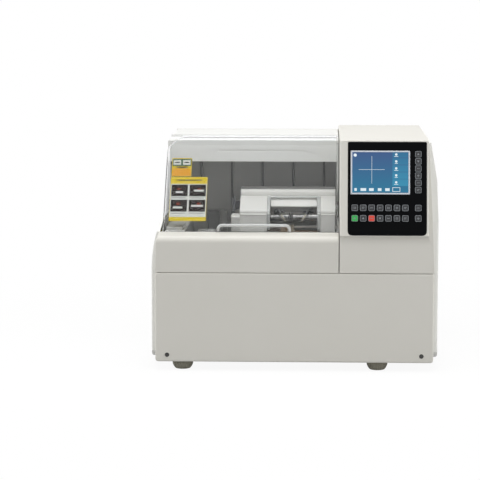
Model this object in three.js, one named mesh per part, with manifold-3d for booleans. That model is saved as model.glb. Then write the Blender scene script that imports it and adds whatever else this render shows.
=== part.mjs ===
// A tabletop automatic lens edger, which grinds a spectacle lens blank to the outline of its frame.
// Millimetres, +Z up, front towards -Y, origin on the table under the middle of the machine.
// A cast base on four feet carries the outer covers. On the left a clear lid opens over the grinding
// chamber, where a swinging carriage turns the lens against a stack of wheels. On the right stands the
// console, with its display and 22 keys on a sloping face.
import * as THREE from "three";
import { mergeVertices } from "three/addons/utils/BufferGeometryUtils.js";
import Module from "manifold-3d";

const wasm = await Module();
wasm.setup();

// Driving sizes of the whole machine
const overallWidth = 580;
const overallDepth = 500;
const footHeight = 18;
const sideStandOut = 10;
const seamHeight = 200;
const shellHeight = 304;
const lidTop = 455;
const consoleTop = 464;
const consoleWidth = 191;
const wall = 3;
const panelCorner = 6;

// Across, 0 is the middle of the standard machine. The chamber's right side keeps its place beside the
// wheels, the console is measured from there to the right, and the body's left side follows its width.
const chamberRight = 89;
const chamberGap = 1.7;
const consoleLeft = chamberRight + chamberGap;
const bodyWidth = overallWidth - sideStandOut - sideStandOut;
const bodyRight = chamberRight + consoleWidth;
const bodyLeft = bodyRight - bodyWidth;

// Clearances
const seamGap = 0.6;
const fitGap = 0.3;
const overrun = 3;

// Console slope, which leans back from the lower front face
const slopeStart = 58;
const slopeBottomZ = seamHeight + slopeStart;
const slopeSetback = 41;
const frameProud = 8;
const frameBottomUp = 15;
const frameEdge = 1.5;
const slopeAngle = Math.atan(slopeSetback / (consoleTop - slopeBottomZ));
const slopeSin = Math.sin(slopeAngle);
const slopeCos = Math.cos(slopeAngle);
const slopeLength = (consoleTop - slopeBottomZ) / slopeCos;
const frameReach = frameProud * slopeCos - (frameBottomUp + frameEdge) * slopeSin;
const inletProud = 3;
const rear = overallDepth - frameReach - inletProud;

// The machine stands in a group of its own, so that Y is 0 on its lower front face
const edger = new THREE.Group();
const machine = new THREE.Group();
machine.position.set(-(bodyLeft + bodyRight) / 2, frameReach - overallDepth / 2, 0);
edger.add(machine);

const finish = {
  white: { color: 0xd9d8d4, roughness: 0.45, metalness: 0 },
  lightGrey: { color: 0xc4c4c2, roughness: 0.5, metalness: 0 },
  liner: { color: 0x6c6d6e, roughness: 0.6, metalness: 0 },
  black: { color: 0x0b0c0f, roughness: 0.15, metalness: 0 },
  dark: { color: 0x2a2b2d, roughness: 0.6, metalness: 0 },
  foot: { color: 0x8b897c, roughness: 0.8, metalness: 0 },
  steel: { color: 0xb8babc, roughness: 0.25, metalness: 1 },
  cast: { color: 0x8d9092, roughness: 0.5, metalness: 0.8 },
  clear: { color: 0xe8ebec, roughness: 0.05, metalness: 0, transparent: true, opacity: 0.3 },
  screen: { color: 0x3a6f9f, roughness: 0.2, metalness: 0 },
  green: { color: 0x1fa04a, roughness: 0.4, metalness: 0 },
  red: { color: 0xd8402c, roughness: 0.4, metalness: 0 },
  roughStone: { color: 0x6a6255, roughness: 0.9, metalness: 0.2 },
  fineStone: { color: 0xb5a98c, roughness: 0.8, metalness: 0.2 },
};

// Solids are made from three.js geometry, then joined and cut
const weld = 1e-4;

function solidOf(geometry) {
  const loose = geometry.index ? geometry.toNonIndexed() : geometry;
  const bare = new THREE.BufferGeometry().setAttribute("position", loose.getAttribute("position"));
  const merged = mergeVertices(bare, weld);
  return new wasm.Manifold(
    new wasm.Mesh({
      numProp: 3,
      vertProperties: merged.attributes.position.array,
      triVerts: new Uint32Array(merged.index.array),
    }),
  );
}

function geometryOf(solid) {
  const mesh = solid.getMesh();
  const geometry = new THREE.BufferGeometry();
  geometry.setAttribute("position", new THREE.BufferAttribute(mesh.vertProperties, 3));
  geometry.setIndex(new THREE.BufferAttribute(mesh.triVerts, 1));
  geometry.computeVertexNormals();
  return geometry;
}

function joined(first, ...others) {
  return others.reduce((whole, piece) => whole.add(piece), first);
}

function cut(first, ...tools) {
  return tools.reduce((whole, tool) => whole.subtract(tool), first);
}

function add(name, solid, look, parent = machine) {
  const mesh = new THREE.Mesh(geometryOf(solid), new THREE.MeshStandardMaterial(finish[look]));
  mesh.name = name;
  parent.add(mesh);
  return mesh;
}

// A box between two corners, given as ranges
function block([x0, x1], [y0, y1], [z0, z1]) {
  const box = new THREE.BoxGeometry(x1 - x0, y1 - y0, z1 - z0);
  return solidOf(box.translate((x0 + x1) / 2, (y0 + y1) / 2, (z0 + z1) / 2));
}

// An outline through corner points, each [across, up, corner radius], with the corners rounded
function outline(corners, arcSteps = 4) {
  const shape = new THREE.Shape();
  const count = corners.length;
  corners.forEach(([x, y, radius = 0], index) => {
    const corner = new THREE.Vector2(x, y);
    const [beforeX, beforeY] = corners[(index + count - 1) % count];
    const [afterX, afterY] = corners[(index + 1) % count];
    const from = new THREE.Vector2(beforeX, beforeY).sub(corner).setLength(radius).add(corner);
    const to = new THREE.Vector2(afterX, afterY).sub(corner).setLength(radius).add(corner);
    const points = radius > 0 ? new THREE.QuadraticBezierCurve(from, corner, to).getPoints(arcSteps) : [corner];
    points.forEach((point, step) => {
      if (index + step === 0) shape.moveTo(point.x, point.y);
      else shape.lineTo(point.x, point.y);
    });
  });
  shape.closePath();
  return shape;
}

function rectangle([x0, x1], [y0, y1], radius = 0, arcSteps = 4) {
  return outline([[x0, y0, radius], [x1, y0, radius], [x1, y1, radius], [x0, y1, radius]], arcSteps);
}

// Outlines across Y and up Z are carried along X, and outlines across X and up Z along Y
const alongX = new THREE.Matrix4().makeBasis(
  new THREE.Vector3(0, 1, 0), new THREE.Vector3(0, 0, 1), new THREE.Vector3(1, 0, 0));
const alongY = new THREE.Matrix4().makeBasis(
  new THREE.Vector3(1, 0, 0), new THREE.Vector3(0, 0, 1), new THREE.Vector3(0, -1, 0));

function prismX(shape, [x0, x1]) {
  const geometry = new THREE.ExtrudeGeometry(shape, { depth: x1 - x0, bevelEnabled: false });
  return solidOf(geometry.applyMatrix4(alongX).translate(x0, 0, 0));
}

function prismY(shape, [y0, y1]) {
  const geometry = new THREE.ExtrudeGeometry(shape, { depth: y1 - y0, bevelEnabled: false });
  return solidOf(geometry.applyMatrix4(alongY).translate(0, y1, 0));
}

// The same, with the front edge rounded off by edge
function prismYRounded(shape, [y0, y1], edge, edgeSteps = 2) {
  const geometry = new THREE.ExtrudeGeometry(shape, {
    depth: y1 - y0, bevelSize: edge, bevelThickness: edge, bevelOffset: -edge, bevelSegments: edgeSteps,
  });
  const solid = solidOf(geometry.applyMatrix4(alongY).translate(0, y1 + edge, 0));
  return cut(solid, block([-overallWidth, overallWidth], [y1, y1 + edge + edge + overrun], [-overallWidth, overallWidth]));
}

// Round bars along X, Y and Z
function rodX(radius, [x0, x1], y, z, sides = 24) {
  const rod = new THREE.CylinderGeometry(radius, radius, x1 - x0, sides);
  return solidOf(rod.rotateZ(-Math.PI / 2).translate((x0 + x1) / 2, y, z));
}

function rodY(radius, [y0, y1], x, z, sides = 24) {
  return solidOf(new THREE.CylinderGeometry(radius, radius, y1 - y0, sides).translate(x, (y0 + y1) / 2, z));
}

function rodZ(radius, [z0, z1], x, y, sides = 24) {
  const rod = new THREE.CylinderGeometry(radius, radius, z1 - z0, sides);
  return solidOf(rod.rotateX(Math.PI / 2).translate(x, y, (z0 + z1) / 2));
}

// A turned piece about an axis along X, from [place along X, radius] points
function turnedX(profile, y, z, sides = 28) {
  const points = profile.map(([x, radius]) => new THREE.Vector2(radius, x));
  return solidOf(new THREE.LatheGeometry(points, sides).rotateZ(-Math.PI / 2).translate(0, y, z));
}

// Working places inside the chamber: swing axis, lens axis and wheel axis, as Y and Z
const swingY = 245;
const swingZ = 303;
const lensY = 170;
const lensZ = 293;
const wheelY = 200;
const wheelZ = 224;
const wheelRadius = 50;
const headLeft = [-115, -59];
const headRight = [52, 83];
const gearCase = 18;

// Base casting: a thick slab, a hollow pedestal under the chamber and a stand for the two bearings
const coverDepth = 40;
const rearCoverDepth = 12;
const slabHeight = 20;
const slabTop = footHeight + slabHeight;
const slabFront = coverDepth + seamGap;
const slabRear = rear - rearCoverDepth - seamGap;
const chamberFloor = 160;
const lidInset = 12;
const lidLeft = bodyLeft + lidInset;
const shelfShare = 0.34;
const wellLeft = lidLeft + (headLeft[0] - gearCase - lidLeft) * shelfShare;
const chamberFront = coverDepth + seamGap;
const chamberBack = 330;
const pedestalInset = 34;
const pedestalWall = 10;
const archRadius = 30;
const archUp = 40;
const standX = [104, 150];
const standFoot = [150, 306];
const standHeadRadius = 23;
const standShoulder = 20;
const spindleRadius = 12;
const guideRadius = 9;
const bearingRadius = 17;

const pedestalX = [wellLeft + pedestalInset, chamberRight - pedestalInset];
const pedestalY = [chamberFront + pedestalInset, chamberBack - pedestalInset];
const pedestalTop = chamberFloor - wall - fitGap;
const pedestalMiddleX = (pedestalX[0] + pedestalX[1]) / 2;
const pedestalMiddleY = (pedestalY[0] + pedestalY[1]) / 2;
const pedestal = block(pedestalX, pedestalY, [slabTop - overrun, pedestalTop]);
const pedestalHollow = block(
  [pedestalX[0] + pedestalWall, pedestalX[1] - pedestalWall],
  [pedestalY[0] + pedestalWall, pedestalY[1] - pedestalWall],
  [footHeight - overrun, pedestalTop - pedestalWall]);
const bearingStand = prismX(outline([
  [standFoot[0], slabTop - overrun],
  [standFoot[1], slabTop - overrun],
  [swingY + standHeadRadius, swingZ + standHeadRadius, standShoulder],
  [swingY - standHeadRadius, swingZ + standHeadRadius, standShoulder],
  [swingY - standHeadRadius, wheelZ + standHeadRadius + standShoulder, standShoulder],
  [wheelY - standHeadRadius, wheelZ + standHeadRadius, standShoulder],
]), standX);
const stemRadius = 5;
const stemLength = 12;
const footRearInset = 50;
const footFrontY = 31;
const footRearY = rear - footRearInset;
const footLeftInset = 54;
const footRightInset = 112;
const footLeftX = bodyLeft + footLeftInset;
const footRightX = bodyRight - footRightInset;
const feet = [
  ["front_left", footLeftX, footFrontY], ["front_right", footRightX, footFrontY],
  ["rear_left", footLeftX, footRearY], ["rear_right", footRightX, footRearY],
];
const stemHoles = feet.map(([, x, y]) =>
  rodZ(stemRadius + fitGap, [footHeight - overrun, footHeight + stemLength + fitGap], x, y, 16));
const tongueFront = 9;
const tongueSpan = [bodyLeft + wall + panelCorner, bodyRight - wall - panelCorner];
add("base_casting", cut(
  joined(
    block([bodyLeft + fitGap, bodyRight - fitGap], [slabFront, slabRear], [footHeight, slabTop]),
    block(tongueSpan, [tongueFront, slabFront + overrun], [footHeight + wall + fitGap, slabTop]),
    pedestal, bearingStand),
  pedestalHollow,
  rodX(archRadius, [pedestalX[0] - overrun, pedestalX[1] + overrun], pedestalMiddleY, slabTop + archUp),
  rodY(archRadius, [pedestalY[0] - overrun, pedestalY[1] + overrun], pedestalMiddleX, slabTop + archUp),
  rodX(bearingRadius + fitGap, [standX[0] - overrun, standX[1] + overrun], wheelY, wheelZ),
  rodX(guideRadius + fitGap, [standX[0] - overrun, standX[1] + overrun], swingY, swingZ),
  ...stemHoles,
), "cast");

// Feet: moulded, with a ribbed side that draws in to a flat sole, each on a threaded stem
const footRadius = 21;
const footSoleRadius = 13;
const footRib = 0.8;
const footRibs = 14;
const footBulgeShares = [[0.82, 0.12], [0.95, 0.35], [1, 0.6]];

function footSolid() {
  const top = footHeight - fitGap;
  const profile = [
    [0, 0], [footSoleRadius, 0],
    ...footBulgeShares.map(([across, up]) => [footRadius * across, top * up]),
    [footRadius, top], [0, top],
  ].map(([across, up]) => new THREE.Vector2(across, up));
  const geometry = new THREE.LatheGeometry(profile, footRibs + footRibs).rotateX(Math.PI / 2);
  const position = geometry.getAttribute("position");
  for (let i = 0; i < position.count; i += 1) {
    const radius = Math.hypot(position.getX(i), position.getY(i));
    const step = Math.round((Math.atan2(position.getY(i), position.getX(i)) / Math.PI) * footRibs);
    const inGroove = Math.abs(step % 2) === 1 && radius > footSoleRadius + footRib;
    const drawn = inGroove ? (radius - footRib) / radius : 1;
    position.setX(i, position.getX(i) * drawn);
    position.setY(i, position.getY(i) * drawn);
  }
  return joined(solidOf(geometry), rodZ(stemRadius, [top - overrun, footHeight + stemLength], 0, 0, 12));
}

for (const [place, x, y] of feet) {
  add(`foot_${place}`, footSolid(), "foot").position.set(x, y, 0);
}

// Front panel: a deep moulded pan that wraps round to the side covers
const panelEdge = 3;
const panelTop = seamHeight - seamGap;
const plugInset = 24;
const plugUp = 14;
const plugRadius = 4.6;
const plugDepth = 2;
const panelSpan = [bodyLeft, bodyRight];
const innerSpan = [panelSpan[0] + wall, panelSpan[1] - wall];
const plugRecesses = [bodyLeft + plugInset, bodyRight - plugInset].map((x) =>
  rodY(plugRadius, [-overrun, plugDepth], x, footHeight + plugUp, 16));
add("front_panel", cut(
  prismYRounded(rectangle(panelSpan, [footHeight, panelTop], panelCorner), [0, coverDepth], panelEdge),
  prismY(rectangle(innerSpan, [footHeight + wall, panelTop - wall], panelCorner), [wall, coverDepth + overrun]),
  ...plugRecesses, ...stemHoles,
), "white");

// Side covers: shells that stand proud of the body. The left one rolls in under the lid, and the right one
// follows the console up to its top.
const sideBottom = 22;
const sideFront = coverDepth + seamGap;
const sideRear = rear - rearCoverDepth - seamGap;
const sideCorner = 6;
const rollDrop = 54;
const rollStart = shellHeight - rollDrop;
const rollRadius = 45;
const lidRise = 72;
const lidFrontDrop = 26;
const lidFrontZ = shellHeight - lidFrontDrop;
const sideChamfer = 12;
const shellTop = shellHeight;
const leftOuter = bodyLeft - sideStandOut;
const leftInner = bodyLeft - fitGap;

function leftSection(inset) {
  return outline([
    [leftInner + inset + inset, sideBottom + inset],
    [leftOuter + inset, sideBottom + inset, sideCorner],
    [leftOuter + inset, rollStart, rollRadius],
    [lidLeft + inset, shellTop + overrun],
    [lidLeft + wall + inset, shellTop + overrun],
    [leftInner + inset + inset, rollStart, rollRadius],
  ]);
}

const leftSide = prismX(outline([
  [sideFront + sideChamfer, sideBottom - overrun],
  [sideRear, sideBottom - overrun],
  [sideRear, shellTop],
  [lidRise, shellTop],
  [sideFront, lidFrontZ - seamGap],
  [sideFront, sideBottom + sideChamfer],
]), [leftOuter - overrun, 0]);
add("side_cover_left", cut(
  prismY(leftSection(0), [sideFront, sideRear]).intersect(leftSide),
  prismY(rectangle([leftOuter + wall, leftInner + overrun], [sideBottom + sideChamfer, rollStart - rollRadius]),
    [sideFront + wall, sideRear - wall]),
), "white");

// The console and the right side cover both draw in towards the top, as [inwards, up] shares
const consoleTaper = 11.5;
const consoleEdgeShares = [[0, 0], [0.17, 0.17], [0.39, 0.455], [0.87, 0.87], [1, 1]];
const coverTaper = 15.5;
const coverStart = 100;
const coverRise = seamHeight + coverStart;
const coverTop = consoleTop - wall - wall;
const coverEdgeShares = [[0, 0], [0.19, 0.52], [0.62, 0.78], [1, 1]];

function consoleEdge(out) {
  return consoleEdgeShares.map(([inwards, up]) => [
    bodyRight - consoleTaper * inwards + out,
    seamHeight + (consoleTop - seamHeight) * up,
  ]);
}

const rightOuter = bodyRight + sideStandOut;
const coverEdge = coverEdgeShares.map(([inwards, up]) => [
  rightOuter - coverTaper * inwards, coverRise + (coverTop - coverRise) * up]);
const rightSection = outline([
  [bodyRight + fitGap, sideBottom],
  [rightOuter, sideBottom, sideCorner],
  ...coverEdge.map(([x, z], index) => [x, z, index > 0 && index < coverEdge.length - 1 ? sideCorner : 0]),
  ...consoleEdge(fitGap).reverse().map(([x, z]) => [x, Math.min(z, coverTop)]),
]);
const rightSide = prismX(outline([
  [sideFront + sideChamfer, sideBottom - overrun],
  [sideRear, sideBottom - overrun],
  [sideRear, coverTop + overrun],
  [sideFront + slopeSetback / 2, coverTop + overrun],
  [sideFront, coverRise],
  [sideFront, sideBottom + sideChamfer],
]), [chamberRight, rightOuter + overrun]);
add("side_cover_right", cut(
  prismY(rightSection, [sideFront, sideRear]).intersect(rightSide),
  prismY(rectangle([bodyRight - overrun, rightOuter - wall], [sideBottom + sideChamfer, coverRise]),
    [sideFront + wall, sideRear - wall]),
), "white");

// Chamber front cover: the face below the lid, rounded back to the ledge that the lid closes on
const shoulderDrop = 6;
const shoulderZ = lidFrontZ - shoulderDrop;
const shoulderRadius = 14;
const ledgeZ = lidFrontZ - fitGap;
const lidFront = 38;
const ledgeRound = 1.5;
const endWall = 16;

function frontCoverSection(inset, bottom) {
  return outline([
    [inset, bottom],
    [inset, shoulderZ - inset, shoulderRadius - inset],
    [lidFront - inset, ledgeZ - inset, ledgeRound],
    [coverDepth - inset, ledgeZ - inset],
    [coverDepth - inset, bottom],
  ]);
}

const frontCoverRoll = prismY(outline([
  [bodyLeft, seamHeight - overrun],
  [bodyLeft, rollStart, rollRadius],
  [lidLeft, shellTop + rollRadius],
  [chamberRight, shellTop + rollRadius],
  [chamberRight, seamHeight - overrun],
]), [-overrun, coverDepth + overrun]);
add("chamber_front_cover", cut(
  prismX(frontCoverSection(0, seamHeight), [bodyLeft, chamberRight]).intersect(frontCoverRoll),
  prismX(frontCoverSection(wall, seamHeight - overrun), [bodyLeft + endWall, chamberRight - wall]),
), "white");

// Console housing: a moulded shell with a leaning face and a frame standing proud of it
const consoleCrown = 8;
const consoleRear = rear - rearCoverDepth - seamGap;
const frameRight = bodyRight - consoleTaper;
const glassInset = 15.7;
const glassRim = 4.5;
const glassFoot = 2.4;
const glassHead = 3.3;
const glassSpanX = [consoleLeft + glassInset, frameRight - glassRim];
const glassSpanUp = [frameBottomUp + glassFoot, slopeLength - frameEdge - glassHead];
const glassHeight = glassSpanUp[1] - glassSpanUp[0];
const glassCorner = 10;
const glassTopCorner = 3;
const glassSet = 0.6;
const glassThickness = 4;
const consoleHoleGap = 2;

function consoleShell(inset, bottom) {
  const side = prismX(outline([
    [inset, bottom],
    [inset, slopeBottomZ - inset * slopeSin],
    [slopeSetback + inset, consoleTop - inset, consoleCrown - inset],
    [consoleRear + inset, consoleTop - inset],
    [consoleRear + inset, bottom],
  ]), [consoleLeft + inset, bodyRight]);
  const front = prismY(outline([
    [consoleLeft, bottom], ...consoleEdge(-inset), [consoleLeft, consoleTop],
  ]), [-overrun, rear]);
  return side.intersect(front);
}

const faceFrame = new THREE.Matrix4().makeRotationX(-slopeAngle).setPosition(0, 0, slopeBottomZ);
const face = new THREE.Group();
face.rotation.x = -slopeAngle;
face.position.z = slopeBottomZ;
machine.add(face);

// A plate lying along the leaning face: an outline across and up it, from depth y0 to y1
function facePlate(shape, [y0, y1], edge = 0) {
  const geometry = new THREE.ExtrudeGeometry(shape, {
    depth: y1 - y0 - edge, bevelEnabled: edge > 0, bevelSize: edge, bevelThickness: edge, bevelOffset: -edge,
    bevelSegments: 1,
  }).applyMatrix4(alongY).translate(0, y1, 0);
  return geometry;
}

const glassFront = glassSet - frameProud;
const glassBack = glassFront + glassThickness;
const frameOutline = rectangle([consoleLeft, frameRight], [frameBottomUp, slopeLength - frameEdge], wall, 2);
const glassRecess = outline([
  [glassSpanX[0] - fitGap, glassSpanUp[0] - fitGap, glassCorner],
  [glassSpanX[1] + fitGap, glassSpanUp[0] - fitGap, glassCorner],
  [glassSpanX[1] + fitGap, glassSpanUp[1] + fitGap, glassTopCorner],
  [glassSpanX[0] - fitGap, glassSpanUp[1] + fitGap, glassTopCorner],
]);
const frameBlank = facePlate(frameOutline, [-frameProud, wall], frameEdge).applyMatrix4(faceFrame);
const frameRecess = facePlate(glassRecess, [-frameProud - overrun, glassBack + fitGap]).applyMatrix4(faceFrame);
const spindleHole = rodX(spindleRadius + consoleHoleGap, [chamberRight - wall - overrun, consoleLeft + wall + overrun], wheelY, wheelZ);
const guideHole = rodX(guideRadius + consoleHoleGap, [chamberRight - wall - overrun, consoleLeft + wall + overrun], swingY, swingZ);
add("console_housing", cut(
  joined(cut(consoleShell(0, seamHeight), consoleShell(wall, seamHeight - overrun)), solidOf(frameBlank)),
  solidOf(frameRecess), spindleHole, guideHole,
), "white");

// Keys: a column of 6 beside the display and two rows of 8 below it
const keyCorner = 2.6;
const keyEdge = 0.6;
const keyProud = 0.9;
const keyThickness = 3.8;
const rowKeys = 7;
const columnKeys = 6;
const rowSpace = 4;
const columnSpace = 1.6;
const keyInset = 14.1;
const columnInset = 17;
const columnToRow = 25.7;
const lowerRowShare = 0.1842;
const upperRowShare = 0.296;
const columnLowShare = 0.4877;
const columnHighShare = 0.871;
const keyLeft = glassSpanX[0] + keyInset;
const columnX = glassSpanX[1] - columnInset;
const lowerRow = glassSpanUp[0] + glassHeight * lowerRowShare;
const upperRow = glassSpanUp[0] + glassHeight * upperRowShare;
const columnTop = glassSpanUp[0] + glassHeight * columnHighShare;
const columnLow = glassSpanUp[0] + glassHeight * columnLowShare;
const keyPitch = (columnX - columnToRow - keyLeft) / (rowKeys - 1);
const columnPitch = (columnTop - columnLow) / (columnKeys - 1);
const keySize = Math.min(keyPitch - rowSpace, columnPitch - columnSpace);
const keyPlaces = [];
for (let k = 0; k < columnKeys; k += 1) {
  keyPlaces.push([`key_side_${k + 1}`, columnX, columnTop - k * columnPitch]);
}
for (const [row, up] of [["upper", upperRow], ["lower", lowerRow]]) {
  for (let k = 0; k < rowKeys; k += 1) {
    keyPlaces.push([`key_${row}_${k + 1}`, keyLeft + k * keyPitch, up]);
  }
  keyPlaces.push([`key_${row}_${rowKeys + 1}`, columnX, up]);
}
const keyFinish = { key_lower_1: "green", key_lower_3: "red" };
const halfKey = keySize / 2;
const keyShape = rectangle([-halfKey, halfKey], [-halfKey, halfKey], keyCorner, 2);
for (const [name, x, up] of keyPlaces) {
  const cap = facePlate(keyShape, [glassFront - keyProud, glassFront - keyProud + keyThickness], keyEdge);
  add(name, solidOf(cap), keyFinish[name] ?? "dark", face).position.set(x, 0, up);
}

// Display: a silver-edged unit in a window of the black panel
const displayInset = 5.7;
const displayToColumn = 16.6;
const displayLowShare = 0.4404;
const displayHighShare = 0.9079;
const displaySpanX = [glassSpanX[0] + displayInset, columnX - displayToColumn];
const displaySpanUp = [displayLowShare, displayHighShare].map((share) => glassSpanUp[0] + glassHeight * share);
const displayBorder = 3;
const displayProud = 0.5;
const displaySink = 1;
const displayUnit = facePlate(rectangle(displaySpanX, displaySpanUp), [glassFront - displayProud, glassBack]);
const displayHollow = facePlate(rectangle(
  [displaySpanX[0] + displayBorder, displaySpanX[1] - displayBorder],
  [displaySpanUp[0] + displayBorder, displaySpanUp[1] - displayBorder]),
[glassFront - displayProud - overrun, glassFront + displaySink]);
add("display_screen", cut(solidOf(displayUnit), solidOf(displayHollow)), "screen", face);

// Black panel: one plate with a hole for each key and a window for the display
const panelOutline = outline([
  [glassSpanX[0], glassSpanUp[0], glassCorner],
  [glassSpanX[1], glassSpanUp[0], glassCorner],
  [glassSpanX[1], glassSpanUp[1], glassTopCorner],
  [glassSpanX[0], glassSpanUp[1], glassTopCorner],
]);
panelOutline.holes.push(rectangle(
  [displaySpanX[0] - fitGap, displaySpanX[1] + fitGap], [displaySpanUp[0] - fitGap, displaySpanUp[1] + fitGap]));
for (const [, x, up] of keyPlaces) {
  panelOutline.holes.push(rectangle(
    [x - halfKey - fitGap, x + halfKey + fitGap], [up - halfKey - fitGap, up + halfKey + fitGap], keyCorner, 2));
}
add("console_panel", solidOf(facePlate(panelOutline, [glassFront, glassBack])), "black", face);

// Rear top cover: a hood over the back of the chamber, with a light front band and a groove for the lid's hinge
const hoodFront = 215;
const hoodBandDrop = 50;
const hoodStepDrop = 6;
const hingeDrop = 8;
const hoodBandBottom = lidTop - hoodBandDrop;
const hoodTop = lidTop - hoodStepDrop;
const hingeY = 300;
const hingeZ = lidTop - hingeDrop;
const barrelRadius = 6.5;
const hingePinRadius = 3.5;
const troughRadius = 8;
const troughWall = 3;
const hoodStep = hingeY + troughRadius + wall;
const hoodBottom = shellTop + seamGap;
const gripLeftInset = 105;
const gripRightInset = 70;
const gripDrop = 27;
const gripSpanX = [lidLeft + gripLeftInset, chamberRight - gripRightInset];
const gripZ = lidTop - gripDrop;
const gripHeight = 5;
const gripDepth = 1.5;
const hoodSpan = [lidLeft, chamberRight];

function hoodProfile(inset, bottom) {
  return outline([
    [hoodFront + inset, bottom],
    [hoodFront + inset, hoodTop - inset],
    [hoodStep + inset, hoodTop - inset],
    [hoodStep + inset, lidTop - inset],
    [consoleRear + inset, lidTop - inset],
    [consoleRear + inset, bottom],
  ]);
}

const hoodShell = cut(
  prismX(hoodProfile(0, hoodBottom), hoodSpan),
  prismX(hoodProfile(wall, hoodBottom - overrun), [hoodSpan[0] + wall, hoodSpan[1] - wall]),
  block([hoodSpan[0] + wall, hoodSpan[1] - wall], [hoodFront - overrun, hoodFront + wall + overrun],
    [hoodBottom - overrun, hoodBandBottom]));
const troughHalf = troughRadius + troughWall;
const troughBody = block([hoodSpan[0] + wall / 2, hoodSpan[1] - wall / 2],
  [hingeY - troughHalf, hingeY + troughHalf], [hingeZ - troughHalf, hoodTop - wall / 2]);
const troughCut = joined(
  rodX(troughRadius, [hoodSpan[0] + wall, hoodSpan[1] - wall], hingeY, hingeZ),
  block([hoodSpan[0] + wall, hoodSpan[1] - wall], [hingeY - troughRadius, hingeY + troughRadius], [hingeZ, lidTop + overrun]));
const gripSlot = prismY(rectangle(gripSpanX, [gripZ - gripHeight / 2, gripZ + gripHeight / 2], gripHeight / 2, 2),
  [hoodFront - overrun, hoodFront + gripDepth]);
add("rear_top_cover", cut(joined(hoodShell, troughBody), troughCut, gripSlot, guideHole,
  rodX(hingePinRadius + fitGap, [hoodSpan[0] - overrun, hoodSpan[1] + overrun], hingeY, hingeZ, 16),
), "lightGrey");
add("lid_hinge_pin", rodX(hingePinRadius, [hoodSpan[0] + fitGap, hoodSpan[1] - fitGap], hingeY, hingeZ, 16), "steel");

// Lid: a clear moulded window that leans back over the chamber, rounded along its left edge
const lidRearEdge = hoodFront - seamGap - seamGap;
const lidShoulderY = 203;
const lidShoulderDrop = 15;
const lidShoulderZ = lidTop - lidShoulderDrop;
const lidShoulderRadius = 34;
const lidBow = 6;
const lidRound = 12;
const lidSideZ = shellTop + seamGap + seamGap;
const lidSkirt = 60;
const barrelClear = 3;

function lidMiddlePoint() {
  return [(lidFront + lidShoulderY) / 2 - lidBow, (lidFrontZ + lidShoulderZ) / 2 + lidBow];
}

// The rounded left end comes from the bevel of the extrusion; everything beyond the lid is then cut away
function lidSolid(inset) {
  const [middleY, middleZ] = lidMiddlePoint();
  const shape = outline([
    [lidFront - lidSkirt, lidFrontZ - lidSkirt],
    [middleY, middleZ, lidSkirt],
    [lidShoulderY, lidTop, lidShoulderRadius],
    [hingeY + lidSkirt, lidTop],
    [hingeY + lidSkirt, lidFrontZ - lidSkirt],
  ], 5);
  const round = lidRound - inset;
  const geometry = new THREE.ExtrudeGeometry(shape, {
    depth: chamberRight - lidLeft + overrun, bevelThickness: round, bevelSize: round, bevelOffset: -round - inset,
    bevelSegments: 3,
  });
  return solidOf(geometry.applyMatrix4(alongX).translate(lidLeft + lidRound, 0, 0));
}

const lidWalls = cut(lidSolid(0), lidSolid(wall),
  block([lidLeft - overrun, chamberRight + lidSkirt + lidSkirt], [lidFront - lidSkirt - lidSkirt, hingeY + lidSkirt + lidSkirt],
    [0, lidFrontZ]),
  block([chamberRight, chamberRight + lidSkirt + lidSkirt], [0, rear], [0, lidTop + lidSkirt]),
  prismX(outline([
    [lidFront + wall, lidFrontZ - overrun], [lidFront + wall + wall, lidFrontZ],
    [lidRise, lidSideZ], [rear, lidSideZ], [rear, lidFrontZ - overrun],
  ]), [lidLeft - overrun, chamberRight + overrun]),
  block([lidLeft - overrun, chamberRight + overrun], [lidRearEdge, rear], [0, hoodTop + seamGap]),
  block([lidLeft - overrun, chamberRight + overrun], [hingeY - wall / 2, rear], [0, lidTop + lidSkirt]));
const lidRightWall = prismX(outline([
  [lidFront + wall, lidFrontZ], [lidRise, lidSideZ], [lidRearEdge, lidSideZ],
  [lidRearEdge, lidTop - wall / 2], [lidFront + wall, lidTop - wall / 2],
]), [chamberRight - wall, chamberRight]).intersect(lidSolid(0));
const lidBarrel = rodX(barrelRadius, [lidLeft + wall + barrelClear, chamberRight - wall - barrelClear], hingeY, hingeZ);
add("lid_window", cut(joined(lidWalls, lidRightWall, lidBarrel),
  rodX(hingePinRadius + fitGap, [lidLeft - overrun, chamberRight + overrun], hingeY, hingeZ, 16),
), "clear");

// Lid handle: a bent rod that stands off the lid's lower edge, with room for the fingers behind it
const handleOffset = 7.5;
const handleMiddle = (lidLeft + chamberRight) / 2 + handleOffset;
const handleWidth = 144;
const handleRod = 3;
const handleReach = 12;
const handleBend = 10;
const handleUp = 6;
const handleFootZ = lidFrontZ + handleUp;
const handleSteps = 24;
const handleSides = 8;
const lidFootY = lidFront - lidSkirt;
const lidFootZ = lidFrontZ - lidSkirt;
const lidMiddle = lidMiddlePoint();
const lidLean = new THREE.Vector2(lidMiddle[0] - lidFootY, lidMiddle[1] - lidFootZ).normalize();
const handleFootY = lidFootY + (handleFootZ - lidFootZ) * lidLean.x / lidLean.y;

function handlePoint(x, reach) {
  return new THREE.Vector3(x, handleFootY - lidLean.y * reach, handleFootZ + lidLean.x * reach);
}

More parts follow.
